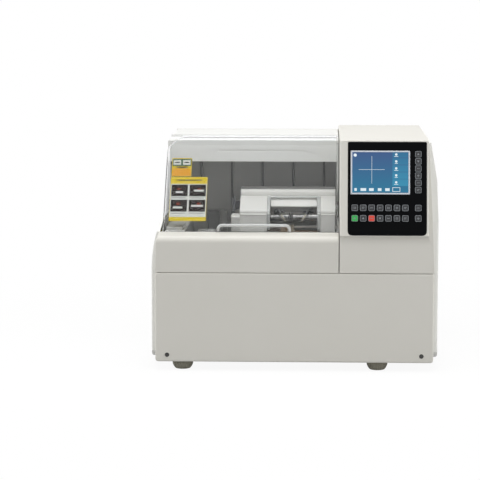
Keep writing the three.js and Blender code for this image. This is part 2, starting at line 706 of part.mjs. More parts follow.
const handleEnds = [handleMiddle - handleWidth / 2, handleMiddle + handleWidth / 2];
const handlePath = new THREE.CurvePath();
handlePath.add(new THREE.LineCurve3(handlePoint(handleEnds[0], fitGap), handlePoint(handleEnds[0], handleReach - handleBend)));
handlePath.add(new THREE.QuadraticBezierCurve3(handlePoint(handleEnds[0], handleReach - handleBend),
  handlePoint(handleEnds[0], handleReach), handlePoint(handleEnds[0] + handleBend, handleReach)));
handlePath.add(new THREE.LineCurve3(
  handlePoint(handleEnds[0] + handleBend, handleReach), handlePoint(handleEnds[1] - handleBend, handleReach)));
handlePath.add(new THREE.QuadraticBezierCurve3(handlePoint(handleEnds[1] - handleBend, handleReach),
  handlePoint(handleEnds[1], handleReach), handlePoint(handleEnds[1], handleReach - handleBend)));
handlePath.add(new THREE.LineCurve3(handlePoint(handleEnds[1], handleReach - handleBend), handlePoint(handleEnds[1], fitGap)));
const handleSection = new THREE.Shape(
  Array.from({ length: handleSides }, (_, k) => new THREE.Vector2(handleRod, 0).rotateAround(
    new THREE.Vector2(0, 0), k * Math.PI / (handleSides / 2))));
add("lid_handle", solidOf(new THREE.ExtrudeGeometry(handleSection, { extrudePath: handlePath, steps: handleSteps })), "white");

// Chamber liner: a deep well for the wheels, a shelf on its left and a ribbed back wall
const shelfDrop = 2;
const shelfZ = lidFrontZ - shelfDrop;
const linerLeft = lidLeft + wall + fitGap;
const wellRight = chamberRight + seamGap - wall;
const linerRight = chamberRight + seamGap;
const linerSideTop = shellTop - overrun;
const linerFrontTop = lidFrontZ - seamGap;
const linerBackDrop = 5;
const linerBackTop = hoodBandBottom - linerBackDrop;
const linerBack = chamberBack + wall;
const ribPitch = 65.8;
const ribInset = 29.9;
const ribWidth = 3;
const ribDepth = 2;
const drainRadius = 9;
const drainY = 290;
const hoodInside = [lidLeft + wall + fitGap, chamberRight - wall - fitGap];
const backRibs = [];
for (let x = chamberRight - ribInset; x > linerLeft + ribPitch / 2; x -= ribPitch) {
  backRibs.push(block([x - ribWidth / 2, x + ribWidth / 2],
    [chamberBack - ribDepth, chamberBack + wall / 2], [shelfZ - wall / 2, linerBackTop - ribWidth]));
}
add("chamber_liner", cut(
  joined(
    block([wellLeft - wall, linerRight], [chamberFront, linerBack], [chamberFloor - wall, chamberFloor]),
    block([wellLeft - wall, wellLeft], [chamberFront, linerBack], [chamberFloor - wall, shelfZ]),
    block([wellRight, linerRight], [chamberFront, linerBack], [chamberFloor - wall, linerFrontTop]),
    block([wellRight, linerRight], [lidRise, linerBack], [shelfZ, linerSideTop]),
    block([wellLeft - wall, linerRight], [chamberFront, chamberFront + wall], [chamberFloor - wall, linerFrontTop]),
    block([linerLeft, wellLeft], [chamberFront, linerBack], [shelfZ - wall, shelfZ]),
    block([linerLeft, linerLeft + wall], [lidRise, linerBack], [shelfZ - wall, linerSideTop]),
    block([linerLeft, wellLeft], [chamberFront, chamberFront + wall], [shelfZ - wall, linerFrontTop]),
    block([wellLeft - wall, linerRight], [chamberBack, linerBack], [chamberFloor - wall, linerSideTop]),
    block(hoodInside, [chamberBack, linerBack], [shelfZ - wall, linerBackTop]),
    ...backRibs),
  rodX(spindleRadius + consoleHoleGap, [wellRight - overrun, linerRight + overrun], wheelY, wheelZ),
  rodX(guideRadius + consoleHoleGap, [wellRight - overrun, linerRight + overrun], swingY, swingZ),
  rodZ(drainRadius, [chamberFloor - wall - overrun, chamberFloor + overrun], wellLeft + drainRadius + drainRadius, drainY, 16),
), "liner");

// Wheel spindle: it turns in the right bearing and carries the wheels between a wide hub and a nut
const nutRadius = 16;
const nutLength = 8;
const hubRadius = 38;
const hubLength = 50;
const wheelWidths = [26, 14, 14];
const wheelsLeft = -57;
const wheelEdges = wheelWidths.reduce((edges, width) => [...edges, edges[edges.length - 1] + width], [wheelsLeft]);
const wheelsX = [wheelsLeft, wheelEdges[wheelEdges.length - 1]];
const pulleyX = [156, 172];
const spindlePulleyRadius = 25;
const motorPulleyRadius = 20;
const beltThickness = 2.5;
const beltInset = 2;
add("wheel_spindle", turnedX([
  [wheelsX[0] - nutLength, 0], [wheelsX[0] - nutLength, nutRadius], [wheelsX[0], nutRadius], [wheelsX[0], spindleRadius],
  [wheelsX[1], spindleRadius], [wheelsX[1], hubRadius], [wheelsX[1] + hubLength, hubRadius],
  [wheelsX[1] + hubLength, spindleRadius], [standX[0], spindleRadius], [standX[0], bearingRadius],
  [standX[1], bearingRadius], [standX[1], spindleRadius], [pulleyX[0], spindleRadius],
  [pulleyX[0], spindlePulleyRadius], [pulleyX[1], spindlePulleyRadius], [pulleyX[1], 0],
], wheelY, wheelZ), "steel");

// Wheels: a coarse one, one with a bevel groove and a polishing one with a bevel groove
const wheelBore = spindleRadius + fitGap;
const grooveDepth = 3;
const grooveHalf = 3.5;

function wheel([x0, x1], grooved) {
  const middle = (x0 + x1) / 2;
  const groove = grooved
    ? [[middle - grooveHalf, wheelRadius], [middle, wheelRadius - grooveDepth], [middle + grooveHalf, wheelRadius]]
    : [];
  return turnedX([[x0, wheelBore], [x0, wheelRadius], ...groove, [x1, wheelRadius], [x1, wheelBore], [x0, wheelBore]],
    wheelY, wheelZ, 32);
}

["roughing_wheel", "bevel_wheel", "polishing_wheel"].forEach((name, k) => {
  const range = [wheelEdges[k] + fitGap, wheelEdges[k + 1] - (k === 2 ? fitGap : 0)];
  add(name, wheel(range, k > 0), k > 0 ? "fineStone" : "roughStone");
});

// Motor, its pulley and the belt up to the spindle, under the console
const motorZ = 92;
const motorRadius = 40;
const motorLeft = 182;
const motorClear = 18;
const motorX = [motorLeft, bodyRight - motorClear];
const motorFoot = 24;
const motorShaft = 6;
const motorShaftLeft = 158;
const motorRibs = 20;
const ribShare = 0.94;
const motorProfile = new THREE.Shape(Array.from({ length: motorRibs + motorRibs }, (_, k) => new THREE.Vector2(
  k % 2 ? motorRadius : motorRadius * ribShare, 0).rotateAround(new THREE.Vector2(0, 0), k * Math.PI / motorRibs)));
const motorBody = solidOf(new THREE.ExtrudeGeometry(motorProfile, { depth: motorX[1] - motorX[0], bevelEnabled: false })
  .applyMatrix4(alongX).translate(motorX[0], wheelY, motorZ));
add("grinding_motor", joined(motorBody,
  rodX(motorShaft, [motorShaftLeft, motorX[0] + overrun], wheelY, motorZ, 16),
  block(motorX, [wheelY - motorFoot, wheelY + motorFoot], [slabTop + fitGap, motorZ - motorRadius / 2]),
), "dark");
add("motor_pulley", cut(
  rodX(motorPulleyRadius, pulleyX, wheelY, motorZ),
  rodX(motorShaft + fitGap, [pulleyX[0] - overrun, pulleyX[1] + overrun], wheelY, motorZ, 16),
), "steel");

// An outline that wraps both pulleys, out past them by the given amount
function beltOutline(out) {
  const upper = spindlePulleyRadius + out;
  const lower = motorPulleyRadius + out;
  const lean = Math.asin((upper - lower) / (wheelZ - motorZ));
  return new THREE.Shape()
    .absarc(0, wheelZ - motorZ, upper, -lean, Math.PI + lean, false)
    .absarc(0, 0, lower, Math.PI + lean, -lean + Math.PI * 2, false);
}

const beltRange = [pulleyX[0] + beltInset, pulleyX[1] - beltInset];
function beltSolid(out, [x0, x1]) {
  const geometry = new THREE.ExtrudeGeometry(beltOutline(out), { depth: x1 - x0, bevelEnabled: false, curveSegments: 10 });
  return solidOf(geometry.applyMatrix4(alongX).translate(x0, wheelY, motorZ));
}

add("drive_belt", cut(
  beltSolid(beltThickness, beltRange), beltSolid(fitGap, [beltRange[0] - overrun, beltRange[1] + overrun]),
), "dark");

// Guide shaft: it slides in the bearing stand and carries the swinging carriage
const guideSpan = [-110, 240];
add("guide_shaft", rodX(guideRadius, guideSpan, swingY, swingZ), "steel");

// Carriage: a drum on the guide shaft with two arms that hold the lens shafts, and a rod for the feelers
const drumRadius = 24;
const armFront = 154;
const armLow = 277;
const armHigh = 303;
const armRound = 10;
const chuckRadius = 8;
const quillRadius = 11;
const feelerY = 212;
const feelerZ = 296;
const feelerRod = 2.5;
const armLeft = [headLeft[0] + wall + fitGap, headLeft[1] - wall - fitGap];
const armRight = [headRight[0] + wall + fitGap, headRight[1] - wall - fitGap];
const armShape = outline([
  [armFront, armLow, armRound],
  [swingY, swingZ - drumRadius + overrun],
  [swingY, swingZ + drumRadius - overrun],
  [armFront, armHigh, armRound],
]);
add("swing_carriage", cut(
  joined(
    rodX(drumRadius, [armLeft[0], armRight[1]], swingY, swingZ, 32),
    prismX(armShape, armLeft), prismX(armShape, armRight),
    rodX(feelerRod, [armLeft[1] - overrun, armRight[0] + overrun], feelerY, feelerZ, 12)),
  rodX(guideRadius + fitGap, [armLeft[0] - overrun, armRight[1] + overrun], swingY, swingZ),
  rodX(chuckRadius + fitGap, [armLeft[0] - overrun, armLeft[1] + overrun], lensY, lensZ),
  rodX(quillRadius + fitGap, [armRight[0] - overrun, armRight[1] + overrun], lensY, lensZ),
), "white");

// Head covers: sloping shells over the arms. Behind their lip they rise to pass over the hub, and are
// open underneath. The left one carries a low gear case on its outer side.
const headFront = 145;
const headRear = 206.5;
const headLow = 262;
const headLip = 5;
const headRearLow = 281.5;
const headOpenY = 182;
const headBrow = 309;
const headTop = 334;
const headFlat = 9;
const headRound = 5;
const gearTop = 298;
const gearY = [150, 200];

function headShape(inset, rearOut) {
  return outline([
    [headFront + inset, headLow + inset, headRound],
    [headFront + headLip + inset, headLow + inset],
    [headRear + rearOut, headRearLow + inset],
    [headRear + rearOut, headTop - inset],
    [headRear - headFlat, headTop - inset, headRound],
    [headFront + inset, headBrow - inset, headRound],
  ]);
}

function headCover([x0, x1], shaftRadius, shaftSide) {
  const hole = shaftSide > 0 ? [x1 - wall - overrun, x1 + overrun] : [x0 - overrun, x0 + wall + overrun];
  return cut(prismX(headShape(0, 0), [x0, x1]), prismX(headShape(wall, overrun), [x0 + wall, x1 - wall]),
    block([x0 + wall, x1 - wall], [headOpenY, headRear + overrun], [headLow, headRearLow + wall + wall]),
    rodX(shaftRadius + seamGap, hole, lensY, lensZ));
}

add("left_head_cover", joined(headCover(headLeft, chuckRadius, 1),
  prismX(rectangle(gearY, [headLow, gearTop], headRound), [headLeft[0] - gearCase, headLeft[0] + wall / 2])), "white");
add("right_head_cover", headCover(headRight, quillRadius, -1), "white");

// Carriage cover: a long hood over the drum, open in front where the arms come out
const coverFront = headRear + fitGap;
const coverBack = 278;
const coverLow = 296;
const coverHigh = 348;
const coverRound = 12;
const openTop = 325;
const carriageCoverSpan = [headLeft[0], headRight[1]];

function carriageCoverShape(inset, bottom) {
  return outline([
    [coverFront + inset, bottom],
    [coverFront + inset, coverHigh - inset, coverRound - inset],
    [coverBack - inset, coverHigh - inset, coverRound - inset],
    [coverBack - inset, bottom],
  ]);
}

add("carriage_cover", cut(
  prismX(carriageCoverShape(0, coverLow), carriageCoverSpan),
  prismX(carriageCoverShape(wall, coverLow - overrun), [carriageCoverSpan[0] + wall, carriageCoverSpan[1] - wall]),
  block([carriageCoverSpan[0] + wall, carriageCoverSpan[1] - wall], [coverFront - overrun, coverFront + wall + overrun],
    [coverLow - overrun, openTop]),
  rodX(guideRadius + consoleHoleGap, [carriageCoverSpan[0] - overrun, carriageCoverSpan[1] + overrun], swingY, swingZ),
), "white");

// Splash guard: a clear frame between the heads, bent to their outline and open for the lens. Its legs end
// above the wheels, which the lowered carriage brings it close to.
const guardDepth = 3;
const guardBar = 6.5;
const guardTopBar = 4;
const guardLow = 270;
const guardX = [headLeft[1] + fitGap, headRight[0] - fitGap];
const guardCutX = [guardX[0] - overrun, guardX[1] + overrun];
add("splash_guard", cut(
  prismX(headShape(0, 0), guardX),
  prismX(headShape(guardDepth, overrun), guardCutX),
  block(guardCutX, [headFront + guardDepth, headRear + overrun], [headLow - overrun, headBrow]),
  block(guardCutX, [headFront - overrun, headRear + overrun], [headLow - overrun, guardLow]),
  block([guardX[0] + guardBar, guardX[1] - guardBar], [headFront - overrun, headRear + overrun],
    [headLow - overrun, headTop - guardTopBar])), "clear");

// Lens shafts: the left one is fixed along X, and the right one rides in a quill that clamps the lens
const lensPlane = -10;
const padRadius = 10;
const padLength = 8;
const padGap = 1;
const leftNeck = 6;
const quillSpan = [24, 62.5];
const rightShaft = 6;
add("left_chuck", turnedX([
  [armLeft[0], 0], [armLeft[0], chuckRadius], [lensPlane - padGap - padLength - leftNeck, chuckRadius],
  [lensPlane - padGap - padLength, rightShaft], [lensPlane - padGap - padLength, padRadius],
  [lensPlane - padGap, padRadius], [lensPlane - padGap, 0],
], lensY, lensZ), "steel");
add("clamp_quill", cut(rodX(quillRadius, quillSpan, lensY, lensZ),
  rodX(rightShaft + fitGap, [quillSpan[0] - overrun, quillSpan[1] + overrun], lensY, lensZ)), "steel");
add("right_chuck", turnedX([
  [lensPlane + padGap, 0], [lensPlane + padGap, padRadius], [lensPlane + padGap + padLength, padRadius],
  [lensPlane + padGap + padLength, rightShaft], [quillSpan[1], rightShaft], [quillSpan[1], 0],
], lensY, lensZ), "steel");

// Feelers: two arms on the rod, each with a stylus that points to the lens
const feelerHub = 6;
const feelerWidth = 8;
const feelerTipY = 184;
const feelerTipDrop = 4;
const feelerTipRise = 6;
const stylusRadius = 1.6;
const stylusLength = 13;
const stylusBack = 3;
for (const [side, x, inwards] of [["left", -40.5, 1], ["right", 32.5, -1]]) {
  const half = feelerWidth / 2;
  const arm = prismX(outline([
    [feelerY, feelerZ - feelerHub / 2],
    [feelerTipY, feelerZ - feelerTipDrop, stylusRadius],
    [feelerTipY, feelerZ + feelerTipRise, stylusRadius],
    [feelerY, feelerZ + feelerHub / 2],
  ]), [x - half, x + half]);
  const stylus = rodX(stylusRadius, inwards > 0 ? [x, x + stylusLength] : [x - stylusLength, x],
    feelerTipY + stylusBack, feelerZ, 8);
  add(`${side}_feeler`, cut(joined(rodX(feelerHub, [x - half, x + half], feelerY, feelerZ, 16), arm, stylus),
    rodX(feelerRod + fitGap, [x - half - overrun, x + half + overrun], feelerY, feelerZ, 12)), "dark");
}

// Rear cover: a pan that follows the outline of the machine, with louvres, a power inlet and a switch
const louvreCount = 9;
const louvreWidth = 90;
const louvreHeight = 3.2;
const louvrePitch = 9;
const louvreBottom = 250;
const louvreInset = 68;
const louvreLeft = lidLeft + louvreInset;
const louvreStep = 120;
const inletInset = 90;
const inletX = bodyRight - inletInset;
const inletZ = 80;
const inletWidth = 48;
const inletHeight = 28;
const switchToInlet = 60;
const switchX = inletX - switchToInlet;
const switchWidth = 19;
const switchHeight = 28;

function rearShape(inset) {
  return outline([
    [bodyLeft + inset, footHeight + inset, panelCorner],
    [bodyRight - inset, footHeight + inset, panelCorner],
    ...consoleEdge(-inset).map(([x, z]) => [x, Math.min(z, consoleTop - inset)]),
    [consoleLeft + inset, consoleTop - inset],
    [consoleLeft + inset, lidTop - inset],
    [lidLeft + inset, lidTop - inset],
    [lidLeft + inset, hoodBottom + inset],
    [bodyLeft + inset, rollStart],
  ]);
}

const louvres = [];
for (let column = 0; column < 2; column += 1) {
  for (let row = 0; row < louvreCount; row += 1) {
    const x = louvreLeft + column * louvreStep;
    const z = louvreBottom + row * louvrePitch;
    louvres.push(block([x, x + louvreWidth], [rear - wall - overrun, rear + overrun], [z, z + louvreHeight]));
  }
}

function window(x, width, height) {
  return block([x - width / 2 - fitGap, x + width / 2 + fitGap], [rear - wall - overrun, rear + overrun],
    [inletZ - height / 2 - fitGap, inletZ + height / 2 + fitGap]);
}

add("rear_cover", cut(
  prismY(rearShape(0), [rear - rearCoverDepth, rear]),
  prismY(rearShape(wall), [rear - rearCoverDepth - overrun, rear - wall]),
  ...louvres, window(inletX, inletWidth, inletHeight), window(switchX, switchWidth, switchHeight),
), "white");

// Power inlet: a flanged socket with a hollow for the plug and three contact pins
const inletFlange = 5;
const inletDepth = 26;
const mouthWidth = 34;
const mouthHeight = 18;
const mouthDepth = 17;
const mouthCorner = 5;
const contactRadius = 2;
const contactLength = 13;
const contactSpread = 9;
const inletFront = rear + inletProud;
const mouth = prismY(outline([
  [inletX - mouthWidth / 2, inletZ - mouthHeight / 2],
  [inletX + mouthWidth / 2, inletZ - mouthHeight / 2],
  [inletX + mouthWidth / 2, inletZ + mouthHeight / 2, mouthCorner],
  [inletX - mouthWidth / 2, inletZ + mouthHeight / 2, mouthCorner],
]), [inletFront - mouthDepth, inletFront + overrun]);
const contacts = [-contactSpread, 0, contactSpread].map((x) =>
  rodY(contactRadius, [inletFront - mouthDepth - overrun, inletFront - mouthDepth + contactLength], inletX + x, inletZ, 8));
add("power_inlet", joined(cut(joined(
  block([inletX - inletWidth / 2 - inletFlange, inletX + inletWidth / 2 + inletFlange], [rear + fitGap, inletFront],
    [inletZ - inletHeight / 2 - inletFlange, inletZ + inletHeight / 2 + inletFlange]),
  block([inletX - inletWidth / 2, inletX + inletWidth / 2], [inletFront - inletDepth, inletFront],
    [inletZ - inletHeight / 2, inletZ + inletHeight / 2])), mouth), ...contacts), "dark");

// Power switch: a rocker on its own pivot, shown with its lower half pressed in
const rockerTilt = 0.14;
const rockerProud = 2.4;
const rockerDepth = 9;
const rockerHalf = switchHeight / 2 - seamGap - seamGap;
const rockerNarrowShare = 0.8;
const rockerDipShare = 0.4;
const rocker = add("power_switch", prismX(outline([
  [-rockerDepth, -rockerHalf * rockerNarrowShare],
  [rockerProud, -rockerHalf],
  [-rockerProud * rockerDipShare, 0],
  [rockerProud, rockerHalf],
  [-rockerDepth, rockerHalf * rockerNarrowShare],
]), [-switchWidth / 2, switchWidth / 2]), "dark");
rocker.position.set(switchX, rear - wall / 2, inletZ);
rocker.rotation.x = rockerTilt;

export default edger;
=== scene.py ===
"""Tabletop automatic lens edger: clear lid over the grinding chamber on the left, console on the right.

Sizes are millimetres: across from the middle, depth back from the lower front face, and up from the table.
`place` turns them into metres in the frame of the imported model.
"""

import bmesh
import bpy
import numpy as np
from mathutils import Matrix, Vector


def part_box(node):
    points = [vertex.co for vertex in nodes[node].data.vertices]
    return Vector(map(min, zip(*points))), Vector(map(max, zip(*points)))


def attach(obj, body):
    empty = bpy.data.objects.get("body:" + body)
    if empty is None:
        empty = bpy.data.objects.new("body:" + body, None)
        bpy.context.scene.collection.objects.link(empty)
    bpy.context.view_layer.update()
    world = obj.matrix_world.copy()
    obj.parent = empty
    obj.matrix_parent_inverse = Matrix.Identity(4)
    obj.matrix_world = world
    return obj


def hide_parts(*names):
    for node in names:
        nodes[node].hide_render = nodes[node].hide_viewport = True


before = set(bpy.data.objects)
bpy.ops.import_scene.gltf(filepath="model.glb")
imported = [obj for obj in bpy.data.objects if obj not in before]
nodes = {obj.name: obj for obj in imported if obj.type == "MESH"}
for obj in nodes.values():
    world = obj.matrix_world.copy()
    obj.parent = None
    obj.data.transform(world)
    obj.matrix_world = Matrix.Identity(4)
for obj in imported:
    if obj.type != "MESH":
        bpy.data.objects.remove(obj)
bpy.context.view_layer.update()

# The room: a pale floor under plain white air, five soft lamps and the camera at the photograph's angle. The
# lens is long, and the camera stands a little right of the middle, about seven degrees above the machine.
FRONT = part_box("front_panel")[0][1]
floor_half = 6000
# Each lamp's place and the height it looks at in metres, its side in metres and its power in watts.
lamp_table = {
    "key lamp": ((-1.4, -2.2, 2.6), 0.25, 2.2, 15), "fill lamp": ((1.1, -3.1, 0.95), 0.3, 2.2, 11),
    "top lamp": ((0.0, -0.3, 2.5), 0.3, 2.0, 38.5), "left lamp": ((-2.6, -0.5, 0.9), 0.25, 1.8, 29),
    "right lamp": ((2.6, -0.5, 0.9), 0.25, 1.8, 31)}
camera_at = np.array([0.055, FRONT - 4.119, 0.772])
camera_aim = np.array([-0.1086, FRONT, 0.266])
focal_length, film_width = 155.6, 36


def place(points):
    """Points as (across, depth, up) in millimetres become metres: divide by 1000, then add the front's Y."""
    points = np.asarray(points, float) / 1000
    return points + np.array([0.0, FRONT, 0.0])


def put_mesh(name, points, faces, material, smooth_angle=0.6):
    """A mesh of faces on points in millimetres, in an array of any shape that ends in (across, depth, up).
    Edges sharper than the angle stay sharp."""
    mesh = bpy.data.meshes.new(name)
    mesh.from_pydata(place(points).reshape(-1, 3).tolist(), [], [list(map(int, face)) for face in faces])
    mesh.validate()
    mesh.shade_smooth()
    mesh.set_sharp_from_angle(angle=smooth_angle)
    mesh.materials.append(material)
    piece = bpy.data.objects.new(name, mesh)
    bpy.context.scene.collection.objects.link(piece)
    return piece


def set_inputs(node, values):
    """Gives each named or numbered input of a node its own value."""
    for socket, value in values.items():
        node.inputs[socket].default_value = value


def add_node(tree, kind, inputs=None, **settings):
    """A new node with its settings, such as its operation, and then the values of its inputs."""
    node = tree.nodes.new(kind)
    for setting, value in settings.items():
        setattr(node, setting, value)
    set_inputs(node, inputs or {})
    return node


def link(tree, *pairs):
    """Joins each source socket to the socket it feeds."""
    for source, sink in pairs:
        tree.links.new(source, sink)


def new_material(name, values):
    """A material, its node tree and its Principled shader, whose sockets get the given plain values."""
    surface = bpy.data.materials.new(name)
    surface.use_nodes = True
    shader = surface.node_tree.nodes["Principled BSDF"]
    set_inputs(shader, values)
    return surface, surface.node_tree, shader


def seen_white(tree, lit, shade=None, shaded=None, light_node="ShaderNodeEmission"):
    """Shows plain white light to the camera, in reflections and through glass, where other rays meet `lit`.
    `shade`, if given, is the share of the `shaded` surface that stays in it, so a shadow still shows."""
    rays = add_node(tree, "ShaderNodeLightPath").outputs
    white = add_node(tree, light_node, {"Color": (1, 1, 1, 1)})
    paper = add_node(tree, "ShaderNodeMixShader", {"Fac": 0.0})
    chooser = add_node(tree, "ShaderNodeMixShader")
    first = add_node(tree, "ShaderNodeMath", operation="MAXIMUM")
    second = add_node(tree, "ShaderNodeMath", operation="MAXIMUM")
    if shade:
        link(tree, (shade, paper.inputs["Fac"]))
    link(tree, (white.outputs[0], paper.inputs[1]), (shaded or lit, paper.inputs[2]),
         (rays["Is Camera Ray"], first.inputs[0]), (rays["Is Glossy Ray"], first.inputs[1]),
         (first.outputs[0], second.inputs[0]), (rays["Is Transmission Ray"], second.inputs[1]),
         (second.outputs[0], chooser.inputs["Fac"]), (lit, chooser.inputs[1]),
         (paper.outputs[0], chooser.inputs[2]))
    return chooser.outputs[0]


def studio_paint(name, bounce, seen, share, reach):
    """A matt paint for the floor, which throws `bounce` of its light back at the machine. Where a
    shadow falls, the grey `seen` shows through the white: by `share` near the machine, less and less out to
    `reach` metres."""
    values = {"Base Color": (bounce, bounce, bounce, 1), "Roughness": 0.9, "Specular IOR Level": 0.1}
    paint, tree, lit = new_material(name, values)
    shaded = add_node(tree, "ShaderNodeBsdfDiffuse", {"Color": (seen, seen, seen, 1)})
    spot = add_node(tree, "ShaderNodeTexCoord")
    away = add_node(tree, "ShaderNodeVectorMath", operation="LENGTH")
    fade = add_node(tree, "ShaderNodeMapRange", {
        "From Min": 0.25 * reach, "From Max": reach, "To Min": share, "To Max": 0.0},
        interpolation_type="SMOOTHSTEP")
    link(tree, (spot.outputs["Object"], away.inputs[0]), (away.outputs["Value"], fade.inputs["Value"]))
    white = seen_white(tree, lit.outputs["BSDF"], fade.outputs["Result"], shaded.outputs["BSDF"])
    link(tree, (white, tree.nodes["Material Output"].inputs["Surface"]))
    return paint


def aim_angles(look):
    """Euler angles that point -Z along `look`: pitch from the height, yaw from the level direction."""
    flat = np.hypot(look[0], look[1])
    return (np.pi / 2 + np.arctan2(look[2], flat), 0.0, np.arctan2(-look[0], look[1]))


def stand(name, data, where, aim):
    """Puts a lamp or a camera at `where` in metres, turned so that its -Z looks at `aim`."""
    holder = bpy.data.objects.new(name, data)
    bpy.context.scene.collection.objects.link(holder)
    holder.location = where
    holder.rotation_euler = aim_angles(np.asarray(aim, float) - np.asarray(where, float))
    return holder


floor_corners = [(x * floor_half, y * floor_half, 0) for x, y in ((-1, -1), (1, -1), (1, 1), (-1, 1))]
floor_paint = studio_paint("studio floor", bounce=0.5, seen=0.95, share=0.08, reach=1.3)
studio = put_mesh("studio_floor", floor_corners, [(0, 1, 2, 3)], floor_paint)

world = bpy.data.worlds.new("studio air")
bpy.context.scene.world = world
world.use_nodes = True
air = world.node_tree
background = air.nodes["Background"]
set_inputs(background, {"Color": (1, 1, 1, 1), "Strength": 0.27})
white_air = seen_white(air, background.outputs["Background"], light_node="ShaderNodeBackground")
link(air, (white_air, air.nodes["World Output"].inputs["Surface"]))

for lamp_name, (lamp_at, aim_height, lamp_side, watts) in lamp_table.items():
    light = bpy.data.lights.new(lamp_name, "AREA")
    light.size = lamp_side
    light.energy = watts
    stand(lamp_name, light, lamp_at, (0, 0, aim_height))

camera_data = bpy.data.cameras.new("camera")
camera_data.sensor_width = film_width
camera_data.lens = focal_length
camera_data.clip_end = 50
bpy.context.scene.camera = stand("camera", camera_data, camera_at, camera_aim)
bpy.context.scene.view_settings.view_transform = "Standard"

# Base casting: sand-cast light alloy, machined under the feet and in the bearing bores. It is seen only from
# below and through the louvres, so the CAD solid stays and gets the cast finish.
grain = bpy.data.node_groups.new("surface grain", "ShaderNodeTree")
grain_inputs = {
    "Colour": (0.8, 0.8, 0.8, 1), "Second colour": (0.7, 0.7, 0.7, 1), "Patch size": 20.0,
    "Grain size": 900.0, "Roughness": 0.5, "Roughness spread": 0.08, "Height": 0.1}
for label, start in grain_inputs.items():
    kind = "NodeSocketColor" if isinstance(start, tuple) else "NodeSocketFloat"
    grain.interface.new_socket(label, in_out="INPUT", socket_type=kind).default_value = start
    if label in ("Colour", "Roughness", "Height"):
        grain.interface.new_socket(label, in_out="OUTPUT", socket_type=kind)
given = add_node(grain, "NodeGroupInput").outputs
result = add_node(grain, "NodeGroupOutput").inputs
spot = add_node(grain, "ShaderNodeTexCoord").outputs["Object"]
patch = add_node(grain, "ShaderNodeTexNoise", {"Detail": 4})
speck = add_node(grain, "ShaderNodeTexNoise", {"Detail": 2})
blend = add_node(grain, "ShaderNodeMix", data_type="RGBA")
centred = add_node(grain, "ShaderNodeMath", {1: 0.5}, operation="SUBTRACT")
rough_shift = add_node(grain, "ShaderNodeMath", operation="MULTIPLY_ADD")
speck_height = add_node(grain, "ShaderNodeMath", operation="MULTIPLY")
link(grain, (spot, patch.inputs["Vector"]), (spot, speck.inputs["Vector"]),
     (given["Patch size"], patch.inputs["Scale"]), (given["Grain size"], speck.inputs["Scale"]),
     (patch.outputs["Fac"], blend.inputs["Factor"]), (given["Colour"], blend.inputs["A"]),
     (given["Second colour"], blend.inputs["B"]), (blend.outputs["Result"], result["Colour"]),
     (patch.outputs["Fac"], centred.inputs[0]), (centred.outputs[0], rough_shift.inputs[0]),
     (given["Roughness spread"], rough_shift.inputs[1]), (given["Roughness"], rough_shift.inputs[2]),
     (rough_shift.outputs[0], result["Roughness"]), (speck.outputs["Fac"], speck_height.inputs[0]),
     (given["Height"], speck_height.inputs[1]), (speck_height.outputs[0], result["Height"]))
bump_strength, bump_depth = 0.25, 0.0002


def linear(shade):
    """Screen colour 0-255 to the linear values a shader takes: with c its share of 255, that is
    ((c + 0.055) / 1.055) ** 2.4, or c / 12.92 for the darkest."""
    share = np.asarray(shade, float) / 255
    return tuple(np.where(share <= 0.04045, share / 12.92, ((share + 0.055) / 1.055) ** 2.4).tolist())


def finish(name, colour, second, roughness, spread, patch_size, grain_size, height, metallic=0.0, coat=0.0,
           specular=0.5, transmission=0.0):
    """A moulded, cast or turned surface: the grain group blends two screen colours in patches, spreads the
    roughness about its middle and lifts a shallow bump. Patch and grain are texture scales per metre."""
    surface, tree, shader = new_material(name, {
        "Metallic": metallic, "Coat Weight": coat, "Specular IOR Level": specular,
        "Transmission Weight": transmission})
    texture = add_node(tree, "ShaderNodeGroup", {
        "Colour": (*linear(colour), 1), "Second colour": (*linear(second), 1), "Patch size": patch_size,
        "Grain size": grain_size, "Roughness": roughness, "Roughness spread": spread, "Height": height},
        node_tree=grain)
    bump = add_node(tree, "ShaderNodeBump", {"Strength": bump_strength, "Distance": bump_depth})
    link(tree, (texture.outputs["Colour"], shader.inputs["Base Color"]),
         (texture.outputs["Roughness"], shader.inputs["Roughness"]),
         (texture.outputs["Height"], bump.inputs["Height"]),
         (bump.outputs["Normal"], shader.inputs["Normal"]))
    return surface


cast_alloy = finish("cast alloy", (150, 152, 154), (128, 130, 133), 0.5, 0.15, 60, 500, 0.8, metallic=0.85)
casting = nodes["base_casting"].data
casting.materials.clear()
casting.materials.append(cast_alloy)

# Feet: grey rubber mouldings with upright ribs round the side and a sole that draws in to the table. Each is
# moulded round the head of a threaded stem.
foot_rubber = finish("foot rubber", (150, 147, 133), (128, 125, 112), 0.75, 0.1, 80, 900, 0.6)
foot_radius, foot_sole, foot_height = 21.0, 13.0, 17.7
foot_ribs, rib_depth, points_per_rib = 28, 0.9, 8
rear_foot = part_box("foot_rear_left")
feet_depths = {"front": 31, "rear": (rear_foot[0][1] + rear_foot[1][1]) / 2 * 1000 - FRONT * 1000}
feet_across = {"left": -226, "right": 168}


def grid_faces(rows, columns, wrap=True, caps=True):
    """Quads of a grid whose rows close on themselves; the first and last rows may each be one flat face."""
    index = np.arange(rows * columns).reshape(rows, columns)
    a = index[:-1]
    b = index[1:]
    if wrap:
        quads = np.stack([a, np.roll(a, -1, 1), np.roll(b, -1, 1), b], -1).reshape(-1, 4)
    else:
        quads = np.stack([a[:, :-1], a[:, 1:], b[:, 1:], b[:, :-1]], -1).reshape(-1, 4)
    faces = quads.tolist()
    if caps:
        faces += [index[0][::-1].tolist(), index[-1].tolist()]
    return faces


def fit(piece, body, node=None):
    """Gives a piece the body it rides on and the CAD node that it replaces, if it replaces one."""
    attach(piece, body)
    if node:
        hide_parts(node)
    return piece


